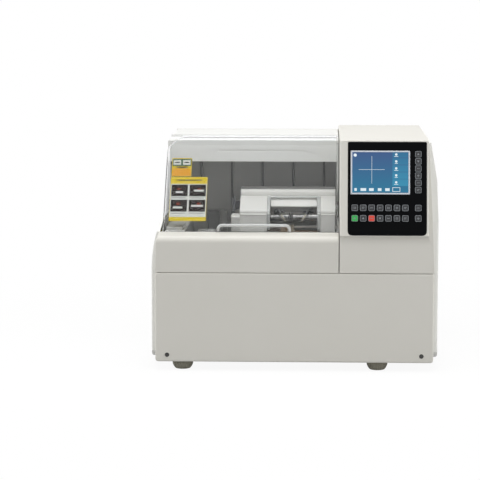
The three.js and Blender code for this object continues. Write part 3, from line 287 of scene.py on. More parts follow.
def ribbed_foot(name, across, depth):
    """Radius is the side's bulge, sole + (side - sole) * sqrt(height share / 0.6), less a rib wave
    cos(ribs * angle), flattened at its crests, that fades out at the sole and at the top."""
    share = np.concatenate([[0.0, 0.02, 0.08], np.linspace(0.18, 0.94, 9), [0.98, 1.0]])
    angle = np.linspace(0, 2 * np.pi, foot_ribs * points_per_rib, endpoint=False)
    bulge = foot_sole + (foot_radius - foot_sole) * np.sqrt(np.clip(share / 0.6, 0, 1))
    depth_of_rib = rib_depth * np.clip((share - 0.05) / 0.2, 0, 1) * np.clip((1.0 - share) / 0.05, 0, 1)
    wave = np.clip(np.cos(foot_ribs * angle) * 1.6, -1, 1)
    radius = bulge[:, None] - depth_of_rib[:, None] * (1 - wave[None, :]) / 2
    up = np.broadcast_to(share[:, None] * foot_height, radius.shape)
    points = np.stack([across + radius * np.cos(angle), depth + radius * np.sin(angle), up], -1)
    return put_mesh(name, points, grid_faces(*radius.shape), foot_rubber)


for end, depth in feet_depths.items():
    for side, across in feet_across.items():
        foot = f"foot_{end}_{side}"
        fit(ribbed_foot(f"rubber_{foot}", across, depth), foot, foot)

# Front panel: a deep pan moulded in off-white plastic, with a fine spark-eroded grain. It hooks over the
# base's front tongue and is held by a screw at each lower corner, each under a dark push-in plug.
cover_white = finish("cover plastic", (218, 216, 209), (213, 211, 203), 0.46, 0.06, 9, 2600, 0.5)
plug_grey = finish("plug plastic", (58, 58, 56), (48, 48, 47), 0.5, 0.1, 60, 2200, 0.3)
panel_half, panel_bottom, panel_top, panel_depth, panel_wall = 280.0, 18.0, 199.4, 40.0, 3.0
plug_across, plug_up = 256, 32
ring_profile = [(0.0, 4.6), (-0.5, 4.9), (-0.5, 5.9), (0.0, 6.2)]
plug_profile = [(0.0, 4.5), (-0.35, 4.4), (-0.5, 1.2), (-0.1, 0.9), (-0.1, 0.02)]


def arc_outline(corners, steps=4, support=0.9):
    """Corners (a, b, radius) become true arcs: tangent points lie radius / tan(half angle) from the
    corner, and the arc swings about the centre from one tangent point to the other. A support point lies
    outside each end, at most two fifths along what is straight."""
    corners = np.array([tuple(corner) + (0.0,) * (3 - len(corner)) for corner in corners], float)
    xy, radii = corners[:, :2], corners[:, 2]
    length = np.linalg.norm(np.roll(xy, -1, 0) - xy, axis=1)
    onward = (np.roll(xy, -1, 0) - xy) / length[:, None]
    half = np.arccos(np.clip(-np.sum(onward * np.roll(onward, 1, 0), 1), -1, 1)) / 2
    reaches = np.where(radii > 0, radii / np.tan(half), 0)
    supports = np.minimum(support, 0.4 * (length - reaches - np.roll(reaches, -1)))
    pieces = []
    for number, (here, radius, reach) in enumerate(zip(xy, radii, reaches)):
        if radius <= 0:
            pieces.append(here[None])
            continue
        back, ahead = -onward[number - 1], onward[number]
        centre = here + (back + ahead) / np.linalg.norm(back + ahead) * radius / np.sin(half[number])
        start = here + back * reach - centre
        end = here + ahead * reach - centre
        turn = np.arctan2(start[0] * end[1] - start[1] * end[0], start @ end)
        angle = np.linspace(0, turn, steps + 1)[:, None]
        arc = centre + start * np.cos(angle) + np.array([-start[1], start[0]]) * np.sin(angle)
        first, last = arc[0] + back * supports[number - 1], arc[-1] + ahead * supports[number]
        pieces.append(np.concatenate([[first], arc, [last]]))
    return np.concatenate(pieces)


def rounded_box(a0, a1, b0, b1, radii, steps=4, support=0.9):
    """The outline of a rectangle, with one radius or one for each corner from (a0, b0) round to (a0, b1)."""
    return arc_outline(zip((a0, a1, a1, a0), (b0, b0, b1, b1), np.broadcast_to(radii, 4)), steps, support)


def drawn_in(outline, distance):
    """The outline moved inwards by a distance: each point slides along the mitre of its two edge normals."""
    area = np.sum(outline[:, 0] * np.roll(outline[:, 1], -1) - np.roll(outline[:, 0], -1) * outline[:, 1])
    edge = np.roll(outline, -1, 0) - outline
    edge /= np.linalg.norm(edge, axis=1)[:, None]
    normal = np.stack([-edge[:, 1], edge[:, 0]], 1) * np.sign(area)
    before = np.roll(normal, 1, 0)
    mitre = (normal + before) / (1 + np.sum(normal * before, 1))[:, None]
    return outline + mitre * distance


def moulded(outline, span, edges, steps=4, support=0.8):
    """Layers of an outline carried from span[0] to span[1]. At each end the outline draws in by
    edge * (1 - sin t) while it moves by edge * (1 - cos t), and one more ring lies flat inside it."""
    t = np.linspace(0, np.pi / 2, steps + 1)
    layers = []
    for end, edge, sign in ((span[0], edges[0], 1), (span[1], edges[1], -1)):
        ring = [(edge + support, 0.0)] + [(edge * (1 - np.sin(a)), edge * (1 - np.cos(a))) for a in t]
        ring.append((0.0, edge + support))
        side = [(drawn_in(outline, inwards), end + sign * along) for inwards, along in ring]
        layers += side if sign > 0 else side[::-1]
    flat = np.stack([points for points, _ in layers])
    along = np.array([[where] * len(outline) for _, where in layers])
    return flat, along


def along_axis(axis, along, first, second):
    """Points (across, depth, up) that lie at `along` on the named axis and at (first, second) off it."""
    parts = {"x": (along, first, second), "y": (first, along, second), "z": (first, second, along)}[axis]
    return np.stack(np.broadcast_arrays(*parts), -1)


def put_shell(name, points, faces, surface, smooth_angle):
    """A mesh whose faces are turned to point outwards."""
    piece = put_mesh(name, points, faces, surface, smooth_angle)
    shell = bmesh.new()
    shell.from_mesh(piece.data)
    bmesh.ops.recalc_face_normals(shell, faces=shell.faces)
    shell.to_mesh(piece.data)
    shell.free()
    return piece


def carried(name, outline, span, axis, surface, edges, support=0.8, wall=None):
    """A moulded solid put along X ('x': outline is depth, up), Y ('y': across, up) or Z ('z': across,
    depth). With a wall it is a shell without its last four layers, and so open at its far end."""
    flat, along = moulded(outline, span, edges, support=support)
    if wall:
        flat, along = flat[:-4], along[:-4]
    faces = grid_faces(*along.shape)
    if wall:
        faces = faces[:-1]
    piece = put_shell(name, along_axis(axis, along, flat[..., 0], flat[..., 1]), faces, surface, 0.7)
    if wall:
        thicken = piece.modifiers.new("wall", "SOLIDIFY")
        thicken.thickness = wall / 1000
        thicken.offset = -1
        thicken.use_even_offset = True
    return piece


def turned(name, profile, centre, axis, surface, segments=64):
    """A profile of (along, radius) swung about an axis through `centre`: radius * (cos, sin) of the angle. A
    profile that ends where it starts makes a ring."""
    profile = np.asarray(profile, float)
    turn = np.linspace(0, 2 * np.pi, segments, endpoint=False)
    points = along_axis(axis, profile[:, :1], profile[:, 1:] * np.cos(turn), profile[:, 1:] * np.sin(turn))
    points = points + np.asarray(centre, float)
    closed = np.allclose(profile[0], profile[-1])
    faces = grid_faces(len(profile), segments, caps=not closed)
    if closed:
        points = points[:-1]
        faces = (np.array(faces) % (len(points) * segments)).tolist()
    return put_shell(name, points, faces, surface, 0.6)


def soft_bend(start, corner, end, steps):
    """Points from start to end, drawn towards the corner: (1 - t)^2 start + 2t(1 - t) corner + t^2 end."""
    t = np.linspace(0, 1, steps + 1)[:, None]
    return (1 - t) ** 2 * start + 2 * t * (1 - t) * corner + t ** 2 * end


def eased(profile, radius=0.5):
    """A turned profile whose corners become soft bends that reach `radius` to each side, or three tenths
    of the shorter side, with a support point beside each. Its ends and its nearly straight points stay."""
    xy = np.array(profile, float)
    kept = [xy[:1]]
    for before, corner, after in zip(xy, xy[1:], xy[2:]):
        lengths = np.linalg.norm(corner - before), np.linalg.norm(after - corner)
        reach = min(radius, 0.3 * min(lengths))
        back, ahead = (before - corner) / lengths[0], (after - corner) / lengths[1]
        if reach < 0.02 or back @ ahead < -0.995:
            kept.append(corner[None])
            continue
        bend = soft_bend(corner + back * reach, corner, corner + ahead * reach, 3)
        kept.append(np.concatenate([[corner + back * reach * 1.5], bend, [corner + ahead * reach * 1.5]]))
    return np.concatenate([*kept, xy[-1:]])


panel_outline = rounded_box(-panel_half, panel_half, panel_bottom, panel_top, 6, 6)
fit(carried("front_panel_moulding", panel_outline, (0, panel_depth), "y", cover_white, (3.0, 0.6),
            wall=panel_wall), "housing", "front_panel")
for side, across in (("left", -plug_across), ("right", plug_across)):
    for name, profile, surface in (("plug_ring", ring_profile, cover_white),
                                   ("corner_plug", plug_profile, plug_grey)):
        fit(turned(f"{name}_{side}", eased(profile, 0.2), (across, 0, plug_up), "y", surface, 48),
            "housing")

# Side covers: two large vacuum-formed shells in the same plastic, screwed to the base from below. The left
# one rolls in under the lid; the right one leans in with the console. The CAD solids give the shape, and
# each is copied, welded and given rounded edges, wider ones at its front outer corner.
# The side colour is the front panel's plastic painted lighter. This is painted light for the sides, which
# face sideways and catch more light.
side_white_painted_light = finish("side plastic painted lighter", (238, 238, 234), (232, 232, 228), 0.46, 0.06, 9, 2600, 0.5)
side_edge, side_front_edge = 1.6, 8.0


def read_all(items, field, kind=float, size=1):
    """One field of all vertices or edges of a mesh, as an array."""
    values = np.empty(len(items) * size, kind)
    items.foreach_get(field, values)
    return values.reshape(-1, size)


def weigh_edges(mesh, ease, edge, radius, test):
    """Bevel weights for sharp edges: 1 where both ends pass the test on (across, depth, up), so that the edge
    gets the radius, and else edge / radius."""
    chosen = test(((read_all(mesh.vertices, "co", size=3) - place([[0, 0, 0]])) * 1000).T)
    ends = read_all(mesh.edges, "vertices", int, 2)
    sharp = read_all(mesh.edges, "use_edge_sharp", bool)[:, 0]
    weight = np.where(sharp, np.where(chosen[ends].all(1), 1.0, edge / radius), 0.0).astype(np.float32)
    mesh.attributes.new("bevel_weight_edge", "FLOAT", "EDGE").data.foreach_set("value", weight)
    ease.width = radius / 1000
    ease.limit_method = "WEIGHT"


def front_outer_corner(at):
    """Whether points lie on the front outer corner of a side cover, above its foot."""
    return (np.abs(at[0]) > 281.5) & (at[1] < 45) & (at[2] > 30)


def eased_copy(name, node, surface, body, edge, steps=2, limit=0.7, join=True, wide=None):
    """A copy of a CAD node's mesh with its vertices merged, flat triangles joined, and its sharp edges
    rounded. `wide` is (radius, test): edges whose two ends pass the test on (across, depth, up) get that
    radius."""
    shell = bmesh.new()
    shell.from_mesh(nodes[node].data)
    bmesh.ops.remove_doubles(shell, verts=shell.verts, dist=0.00001)
    if join:
        bmesh.ops.dissolve_limit(shell, angle_limit=0.01, verts=shell.verts, edges=shell.edges)
    mesh = bpy.data.meshes.new(name)
    shell.to_mesh(mesh)
    shell.free()
    mesh.shade_smooth()
    mesh.set_sharp_from_angle(angle=limit)
    mesh.materials.append(surface)
    piece = bpy.data.objects.new(name, mesh)
    bpy.context.scene.collection.objects.link(piece)
    ease = piece.modifiers.new("edges", "BEVEL")
    ease.width = edge / 1000
    ease.segments = steps
    ease.limit_method = "ANGLE"
    ease.angle_limit = limit
    ease.use_clamp_overlap = True
    ease.miter_outer = "MITER_ARC"
    if wide:
        weigh_edges(mesh, ease, edge, *wide)
    piece.modifiers.new("normals", "WEIGHTED_NORMAL").keep_sharp = False
    return fit(piece, body, node)


for side in ("left", "right"):
    eased_copy(f"side_shell_{side}", f"side_cover_{side}", side_white_painted_light, "housing", side_edge, 5,
               wide=(side_front_edge, front_outer_corner))

# Rear cover: a shallow pan of the same plastic that follows the outline of the machine, with two groups of
# louvres, held to the base and the hood by its rim. The power fittings snap into windows in it.
fitting_black = finish("fitting plastic", (34, 34, 36), (28, 28, 30), 0.42, 0.08, 60, 2400, 0.3)
eased_copy("rear_pan", "rear_cover", cover_white, "housing", 0.5, join=False)
eased_copy("power_inlet_socket", "power_inlet", fitting_black, "housing", 0.5)
eased_copy("power_rocker", "power_switch", fitting_black, "switch_rocker", 0.5)

# Chamber front cover: the plastic face below the lid. It is rounded back at its top in a bright shoulder to
# the ledge that the lid closes on, and rolls in at the left with the side cover.
shoulder_up, shoulder_radius, ledge_up, ledge_back, face_foot = 272.0, 14.0, 277.7, 40.0, 200
face_left, face_right, face_edge = -280, 89, 1.2
roll_start, roll_height, roll_lean = 240, 20, 12 / 54


def rolled_left(up):
    """X of the left end at a height: upright to the roll's start, then a parabola over the roll's height,
    then a straight that leans in by 12 in 54."""
    bend = np.clip((up - roll_start) / roll_height, 0, 1)
    above = np.clip(up - roll_start - roll_height, 0, None)
    return face_left + roll_lean * roll_height * bend ** 2 / 2 + roll_lean * above


face_outline = arc_outline([(0, face_foot), (0, shoulder_up, shoulder_radius), (38, ledge_up, 1.5),
                            (ledge_back, ledge_up), (ledge_back, face_foot)], 10)
face_flat, face_along = moulded(face_outline, (0, 1), (face_edge, face_edge), 3)
left_rows = len(face_along) // 2
face_x = np.concatenate([rolled_left(face_flat[:left_rows, :, 1]) + face_along[:left_rows],
                         face_right + (face_along[left_rows:] - 1)])
fit(put_shell("chamber_face_moulding", along_axis("x", face_x, face_flat[..., 0], face_flat[..., 1]),
              grid_faces(*face_x.shape), cover_white, 0.7), "housing", "chamber_front_cover")

# Console housing: one moulding with a leaning face, a raised frame around the black panel and a long flat
# top. It closes the bay of the drive, and its right front edges are rounded wider.
console_edge, console_front_edge = 1.6, 6.0


def console_front_right(at):
    """Whether points lie on the right end of the console, in front of its flat top's middle."""
    return (at[0] > 262) & (at[1] < 200)


eased_copy("console_moulding", "console_housing", cover_white, "housing", console_edge, 4,
           wide=(console_front_edge, console_front_right))

# Control face: a black tinted acrylic panel, glued into the frame and cut for the display and the keys. The
# keys are single moulded caps with a pale printed outline; the start key is green and the stop key red.
panel_black = finish("black acrylic", (7, 8, 10), (5, 6, 8), 0.09, 0.03, 8, 300, 0.02, specular=0.03)
key_black = finish("key rubber", (30, 31, 35), (25, 26, 29), 0.42, 0.06, 60, 2600, 0.25)
key_green = finish("green key", (34, 176, 74), (28, 160, 66), 0.36, 0.06, 60, 2600, 0.2)
key_red = finish("red key", (228, 66, 44), (210, 56, 38), 0.36, 0.06, 60, 2600, 0.2)
print_grey = finish("pale print", (138, 143, 147), (128, 133, 137), 0.5, 0.05, 80, 2600, 0.1)
lean_cos, lean_sin, slope_foot, glass_front = 0.98076, 0.19520, 258.0, -7.4
key_half, key_corner, key_proud, key_sunk, key_dish = 6.4, 2.6, 0.9, -2.9, 0.225
rim_half, rim_corner, rim_width = 6.2, 2.3, 0.75
key_column, column_top, column_pitch, row_left, row_pitch = 247.0, 181, 14.4, 120.5, 16.8
row_heights = {"upper": 73.0, "lower": 52.0}
glyph_order = (3, 4, 0, 1, 2, 5, 6, 5, 0, 2, 6, 1, 5, 0, 1, 3, 0, 4, 2, 6, 5, 1)


def on_slope(points):
    """Points as (across, out of the panel, up along it) are tilted back about the slope's foot: depth is
    up * sin - out * cos and height is foot + up * cos + out * sin."""
    points = np.asarray(points, float)
    out = points[..., 1] - glass_front
    return np.stack([points[..., 0], points[..., 2] * lean_sin - out * lean_cos,
                     slope_foot + points[..., 2] * lean_cos + out * lean_sin], -1)


def raised(outline, level):
    """An outline on the panel at one level, as points (across, out of the panel, up along it)."""
    return np.stack([outline[:, 0], np.full(len(outline), level), outline[:, 1]], 1)


def printed(name, outlines, surface, body, low, high, node=None):
    """Printed marks on the panel, the screen or a key, as thin plates: each outline is raised from low to
    high, and closed on its top."""
    points, faces, first = [], [], 0
    for outline in outlines:
        count = len(outline)
        points += [raised(outline, low), raised(outline, high)]
        faces += (np.array(grid_faces(2, count, caps=False)) + first).tolist()
        faces.append([first + count + corner for corner in range(count)])
        first += 2 * count
    return fit(put_shell(name, on_slope(np.concatenate(points)), faces, surface, 0.5), body, node)


def box_line(x0, x1, v0, v1):
    """A rectangle on the panel."""
    return np.array([(x0, v0), (x1, v0), (x1, v1), (x0, v1)], float)


def disc(x, v, radius, count=20):
    """A round mark on the panel."""
    turn = np.linspace(0, 2 * np.pi, count, endpoint=False)
    return np.stack([x + radius * np.cos(turn), v + radius * np.sin(turn)], 1)


def frame_lines(x0, x1, v0, v1, width):
    """Four bars that make a rectangular outline of the given line width."""
    inner_low, inner_high = v0 + width, v1 - width
    return [box_line(x0, x1, v0, inner_low), box_line(x0, x1, inner_high, v1),
            box_line(x0, x0 + width, inner_low, inner_high),
            box_line(x1 - width, x1, inner_low, inner_high)]


def key_glyph(kind, x, v):
    """A small generic mark, 5 mm across: bar, cross, row of dots, arrow up, arrow down, two bars or frame."""
    bar = box_line(x - 2.6, x + 2.6, v - 0.5, v + 0.5)
    return (
        [bar],
        [bar, box_line(x - 0.5, x + 0.5, v + 0.5, v + 2.6), box_line(x - 0.5, x + 0.5, v - 2.6, v - 0.5)],
        [disc(x + shift, v, 0.75, 12) for shift in (-1.8, 0, 1.8)],
        [np.array([(x - 2.4, v - 1.6), (x + 2.4, v - 1.6), (x, v + 2.2)])],
        [np.array([(x - 2.4, v + 1.6), (x, v - 2.2), (x + 2.4, v + 1.6)])],
        [box_line(x - 2.6, x + 2.6, v + 0.7, v + 1.6), box_line(x - 2.6, x + 1.0, v - 1.4, v - 0.5)],
        frame_lines(x - 2.2, x + 2.2, v - 1.7, v + 1.7, 0.7))[kind]


def key_cap(name, x, v, surface, glyph):
    """The cap is a rounded square carried out of the panel, with its top edge eased and its top dished:
    the dish falls off as 1 - (r / half)^2 from the middle. A mark and a rim are printed on it."""
    outline = rounded_box(x - key_half, x + key_half, v - key_half, v + key_half, key_corner, 5, 0.4)
    flat, along = moulded(outline, (key_sunk, key_proud), (0.1, 0.7), 4, 0.3)
    middle = np.array([x, v])
    share = np.array([0.8, 0.55, 0.3, 0.08])[:, None]
    flat = np.concatenate([flat, middle + (flat[-1] - middle) * share[..., None]])
    along = np.concatenate([along, (key_proud - key_dish * (1 - share ** 2)) * np.ones(len(outline))])
    fit(put_shell(f"{name}_cap", on_slope(np.stack([flat[..., 0], along, flat[..., 1]], -1)),
                  grid_faces(*along.shape), surface, 0.8), name, name)
    printed(f"{name}_mark", key_glyph(glyph, x, v), print_grey, name, key_proud - 0.3, key_proud + 0.05)
    rim_out = rounded_box(x - rim_half, x + rim_half, v - rim_half, v + rim_half, rim_corner, 4, 0.3)
    rim_in = drawn_in(rim_out, rim_width)
    rows = np.stack([raised(rim, key_proud + out) for rim, out in
                     ((rim_out, -0.5), (rim_out, -0.02), (rim_in, 0.04), (rim_in, -0.5))])
    fit(put_shell(f"{name}_rim", on_slope(rows), grid_faces(4, len(rim_out), caps=False), print_grey, 0.6),
        name)


eased_copy("console_glass", "console_panel", panel_black, "housing", 0.35)
key_places = [(f"key_side_{k + 1}", key_column, column_top - column_pitch * k) for k in range(6)]
for row, up in row_heights.items():
    key_places += [(f"key_{row}_{k + 1}", row_left + row_pitch * k, up) for k in range(7)]
    key_places.append((f"key_{row}_8", key_column, up))
coloured_keys = {"key_lower_1": (key_green, "key_green"), "key_lower_3": (key_red, "key_red")}
for (name, x, v), glyph in zip(key_places, glyph_order):
    surface, slot = coloured_keys.get(name, (key_black, "key"))
    key_cap(name, x, v, surface, glyph)

# Display: a liquid crystal panel in a silver bezel, let into the black panel. The picture is a plain work
# screen: a crosshair for the lens, a strip of cells on the right and plain round and square marks along its
# edges.
silver = finish("bezel silver", (186, 190, 196), (172, 176, 182), 0.3, 0.06, 40, 2000, 0.1, metallic=0.75)
screen_left, screen_right, screen_low, screen_high = 112.1, 230.4, 100.1, 187.9
bezel_width, bezel_proud = 3.0, 0.5
glow_low, glow_high = 102, 186
picture_back, picture_front, picture_margin, ink_back, ink_front = -2.2, -0.9, 2.9, -0.88, -0.84
cross_x, cross_v, line_half = 154.3, 150.0, 0.3
cell_left, cell_right, cell_low, cell_high, cell_pitch = 195.5, 226.6, 117.4, 130.6, 14.2
icon_x, icon_top, icon_pitch = 203, 180.5, 14
button_low, button_high = 107, 112.6
footer_margin, footer_low, footer_high = 3.1, 103.2, 104.0


def glow(name, low_colour, high_colour, strength):
    """A lit screen: the colour runs from low to high with the height of the point, read from Object Z."""
    surface, tree, shader = new_material(name, {
        "Emission Strength": strength, "Base Color": (0.01, 0.012, 0.015, 1), "Roughness": 0.18,
        "Specular IOR Level": 0.1})
    spot = add_node(tree, "ShaderNodeTexCoord")
    split = add_node(tree, "ShaderNodeSeparateXYZ")
    ramp = add_node(tree, "ShaderNodeMapRange", {"From Min": (slope_foot + glow_low * lean_cos) / 1000,
                                                 "From Max": (slope_foot + glow_high * lean_cos) / 1000})
    mix = add_node(tree, "ShaderNodeMix", {"A": (*linear(low_colour), 1), "B": (*linear(high_colour), 1)},
                   data_type="RGBA")
    link(tree, (spot.outputs["Object"], split.inputs[0]), (split.outputs["Z"], ramp.inputs["Value"]),
         (ramp.outputs["Result"], mix.inputs["Factor"]),
         (mix.outputs["Result"], shader.inputs["Emission Color"]))
    return surface


def screen_mark(name, outlines, surface, front=ink_front, back=ink_back, node=None):
    """Marks on the screen, printed as plates from back to front."""
    return printed(f"display_{name}", outlines, surface, "housing", back, front, node)


bezel_outline = rounded_box(screen_left, screen_right, screen_low, screen_high, 1.2, 4, 0.3)
bezel_section = [(0.0, -0.5), (0.0, bezel_proud - 0.3), (0.1, bezel_proud - 0.08), (0.35, bezel_proud),
                 (bezel_width - 0.35, bezel_proud), (bezel_width - 0.1, bezel_proud - 0.08),
                 (bezel_width, bezel_proud - 0.3), (bezel_width, picture_front)]
bezel_rows = np.stack([raised(drawn_in(bezel_outline, inwards), level) for inwards, level in bezel_section])
bezel_faces = grid_faces(*bezel_rows.shape[:2], caps=False)
fit(put_shell("display_bezel", on_slope(bezel_rows), bezel_faces, silver, 0.9), "housing")

screen_blue = glow("screen blue", (40, 122, 156), (62, 92, 140), 0.9)
screen_teal = glow("screen teal", (58, 152, 186), (48, 112, 152), 0.92)
screen_ink = glow("screen marks", (226, 240, 246), (236, 246, 250), 0.95)
screen_deep = glow("screen shade", (24, 66, 96), (26, 58, 96), 0.9)
screen_mark("picture", [box_line(screen_left + picture_margin, screen_right - picture_margin,
                                 screen_low + picture_margin, screen_high - picture_margin)],
            screen_blue, picture_front, picture_back, "display_screen")
screen_mark("crosshair", [box_line(cross_x - line_half, cross_x + line_half, 122, 177),
                          box_line(128, 180, cross_v - line_half, cross_v + line_half)], screen_ink)
screen_mark("strip", [box_line(cell_left, cell_right, cell_low + cell_pitch * k, cell_high + cell_pitch * k)
                      for k in range(5)], screen_teal)
icon_rows = [icon_top - icon_pitch * k for k in range(5)]
marks = [disc(icon_x, v, 2.4) for v in icon_rows] + [disc(121, 179, 3.2)]
marks += [box_line(icon_x - half, icon_x + half, v - 4.6, v - 3.6)
          for v, half in zip(icon_rows, (4, 3, 4, 3, 4))]
marks += [box_line(x - half, x + half, button_low, button_high) for x, half in
          ((122, 2.4), (137.5, 5.6), (153.5, 4.6), (170, 3.6), (185.5, 4.4))]
marks += frame_lines(cell_left, 211, 105.6, 114.4, 1.0)
screen_mark("marks", marks, screen_ink, ink_front + 0.01)
screen_mark("footer", [box_line(screen_left + footer_margin, screen_right - footer_margin, footer_low,
                                footer_high)], screen_deep, ink_front - 0.01)

# Rear top cover: a hood over the back of the chamber, moulded in a lighter grey. Its front band has a long
# grip slot, and the trough behind it holds the lid's hinge, which turns on one steel pin. Its top left
# corner is rounded wider than its other edges.
cover_grey = finish("hood plastic", (232, 232, 229), (226, 226, 223), 0.5, 0.06, 9, 2600, 0.5)
bright_steel = finish("ground steel", (206, 207, 208), (188, 190, 192), 0.24, 0.12, 50, 1500, 0.1,
                      metallic=0.9)
hood_edge, hood_corner = 1.2, 17.0
hinge_axis, pin_left, pin_right, pin_radius = (0, 300, 447), -267.7, 88.7, 3.5


def hood_top_left(at):
    """Whether points lie on the top left edge of the hood."""
    return (at[0] < -266) & (at[2] > 453)


def round_bar(name, left, right, radius, centre, surface, edge, segments):
    """A plain bar along X with eased ends."""
    profile = [(left, 0.02), (left, radius), (right, radius), (right, 0.02)]
    return turned(name, eased(profile, edge), centre, "x", surface, segments)


def round_tube(name, left, right, bore, radius, centre, surface, edge, segments):
    """A plain tube along X with eased edges."""
    profile = [(left, bore), (left, radius), (right, radius), (right, bore), (left, bore)]
    return turned(name, eased(profile, edge), centre, "x", surface, segments)


eased_copy("hood_moulding", "rear_top_cover", cover_grey, "housing", hood_edge, 6,
           wide=(hood_corner, hood_top_left))
fit(round_bar("hinge_pin_bar", pin_left, pin_right, pin_radius, hinge_axis, bright_steel, 0.6, 32),
    "housing", "lid_hinge_pin")

# Lid: one clear acrylic moulding that leans back over the chamber, 3 mm thick, rounded along its left end
# and over its shoulder. It turns on the pin and closes on the ledge of the chamber front cover.
clear, clear_tree, clear_shader = new_material("clear acrylic", {"Transmission Weight": 1.0, "IOR": 1.16})
haze = add_node(clear_tree, "ShaderNodeGroup", {
    "Colour": (0.985, 0.99, 0.99, 1), "Second colour": (0.96, 0.97, 0.972, 1), "Patch size": 11,
    "Roughness": 0.035, "Roughness spread": 0.03}, node_tree=grain)
rays = add_node(clear_tree, "ShaderNodeLightPath").outputs
gap = add_node(clear_tree, "ShaderNodeBsdfTransparent", {"Color": (0.95, 0.955, 0.955, 1)})
chooser = add_node(clear_tree, "ShaderNodeMixShader")
either = add_node(clear_tree, "ShaderNodeMath", operation="MAXIMUM")
link(clear_tree, (haze.outputs["Colour"], clear_shader.inputs["Base Color"]),
     (haze.outputs["Roughness"], clear_shader.inputs["Roughness"]),
     (rays["Is Shadow Ray"], either.inputs[0]), (rays["Is Diffuse Ray"], either.inputs[1]),
     (either.outputs[0], chooser.inputs["Fac"]), (clear_shader.outputs["BSDF"], chooser.inputs[1]),
     (gap.outputs["BSDF"], chooser.inputs[2]),
     (chooser.outputs["Shader"], clear_tree.nodes["Material Output"].inputs["Surface"]))
lid_left, lid_right, lid_wall = -268.0, 89.0, 3.0
lid_round, lid_right_edge = 12.0, 1.2
lid_corner, lid_corner_up = 18.0, 437.0
lid_slope, lid_slope_cos = 0.9286, 0.7328
lid_front_up, lid_top, lid_rear = 278.0, 455.0, 298.5
lid_front = np.array([-22 + (lid_front_up - 218) * lid_slope, lid_front_up])
lid_middle, middle_reach = np.array([114.5, 365.0]), 60
lid_shoulder, shoulder_reach = np.array([203.0, lid_top]), 34
lid_back = np.array([lid_rear, lid_top])
end_rim_shares = [0, 0.12, 0.62, 0.86, 1]
end_rim_front, end_rim_level, end_rim_step = 41, 72, 213.8
end_rim_up = [lid_front_up, 305.2, 305.2, 449.6, 449.6]
barrel_left, barrel_right, barrel_bore, barrel_radius = -247, 83, 3.8, 6.5


def lid_line():
    """The lid's side profile as (depth, up), front rim to hinge: a straight, a slow bend at the middle, a
    straight, the shoulder bend and the flat top."""
    pieces = [lid_front + (lid_middle - lid_front) * np.array([[0.0], [0.02], [0.2]])]
    for before, corner, after, reach in ((lid_front, lid_middle, lid_shoulder, middle_reach),
                                         (lid_middle, lid_shoulder, lid_back, shoulder_reach)):
        start = corner + (before - corner) / np.linalg.norm(before - corner) * reach
        end = corner + (after - corner) / np.linalg.norm(after - corner) * reach
        pieces.append(soft_bend(start, corner, end, 16))
    pieces.append(lid_shoulder + (lid_back - lid_shoulder) * np.array([[0.45], [0.75], [0.98], [1.0]]))
    return np.concatenate(pieces)


def lid_surface(inset):
    """Rows of the lid from its left rim over the top to its right rim. Round each end the profile draws in by
    r * (1 - sin a) while x moves by r * (1 - cos a), and below that the end wall runs straight from the
    drawn-in profile to the rim line. Seen from the front the top left corner is an arc: the left rows move
    right by r - sqrt(r^2 - (up - centre)^2)."""
    line = lid_line()
    way = np.gradient(line, axis=0)
    way /= np.linalg.norm(way, axis=1)[:, None]
    normal = np.stack([way[:, 1], -way[:, 0]], 1)
    share = np.concatenate([[0], np.cumsum(np.linalg.norm(np.diff(line, axis=0), axis=1))])
    share /= share[-1]
    end_rim_depth = [end_rim_front - inset * 0.3, end_rim_level + inset, end_rim_step, end_rim_step, lid_rear]
    rim = np.stack([np.interp(share, end_rim_shares, end_rim_depth),
                    np.interp(share, end_rim_shares, end_rim_up)], 1)

    def drawn(by):
        """The profile moved in along its normals, with its two ends kept on the rim and on the back."""
        moved = line + normal * by
        moved[0] = [line[0, 0] + by / lid_slope_cos, lid_front_up]
        moved[-1] = [lid_rear, lid_top - by]
        return moved

    rows, across = [], []
    angle = np.linspace(0, np.pi / 2, 9)
    for end, radius, sign in ((lid_left + inset, lid_round - inset, 1),
                              (lid_right - inset, lid_right_edge, -1)):
        round_rows = [drawn(inset + radius * (1 - np.sin(a))) for a in angle]
        wall_rows = [round_rows[0] * (1 - t) + rim * t for t in (1.0, 0.97, 0.6, 0.3, 0.05)]
        block = wall_rows + round_rows + [drawn(inset)]
        block_x = [end] * len(wall_rows) + [end + sign * radius * (1 - np.cos(a)) for a in angle]
        block_x.append(end + sign * (radius + 2))
        rows += block[::sign]
        across += block_x[::sign]
    corner = lid_corner - inset
    above = np.clip(line[:, 1] - lid_corner_up, 0, corner)
    shift = corner - np.sqrt(corner ** 2 - above ** 2)
    across = np.array(across)[:, None]
    across = across + np.where(across < 0, shift, 0.0)
    return np.concatenate([across[..., None], np.stack(rows)], -1)


lid_rows = np.concatenate([lid_surface(0.0), lid_surface(lid_wall)[::-1]]).transpose(1, 0, 2)
fit(put_shell("clear_lid", lid_rows, grid_faces(*lid_rows.shape[:2]), clear, 0.7),
    "lid", "lid_window")
fit(round_tube("lid_hinge_barrel", barrel_left, barrel_right, barrel_bore, barrel_radius, hinge_axis, clear,
               0.6, 40), "lid")

# Lid handle: a bail of clear acrylic, bent round at both ends from a straight bar and cemented to the front
# of the lid at both feet. The hand goes behind it.
clear_bar = finish("handle acrylic", (240, 241, 240), (232, 234, 234), 0.12, 0.05, 30, 900, 0.03, coat=0.4,
                   transmission=0.45)
bar_radius, bar_left, bar_right, bar_bend = 3.0, -154.0, -10.0, 9.0
foot_at, bar_at = np.array([36.4, 280.4]), np.array([30.6, 291.9])


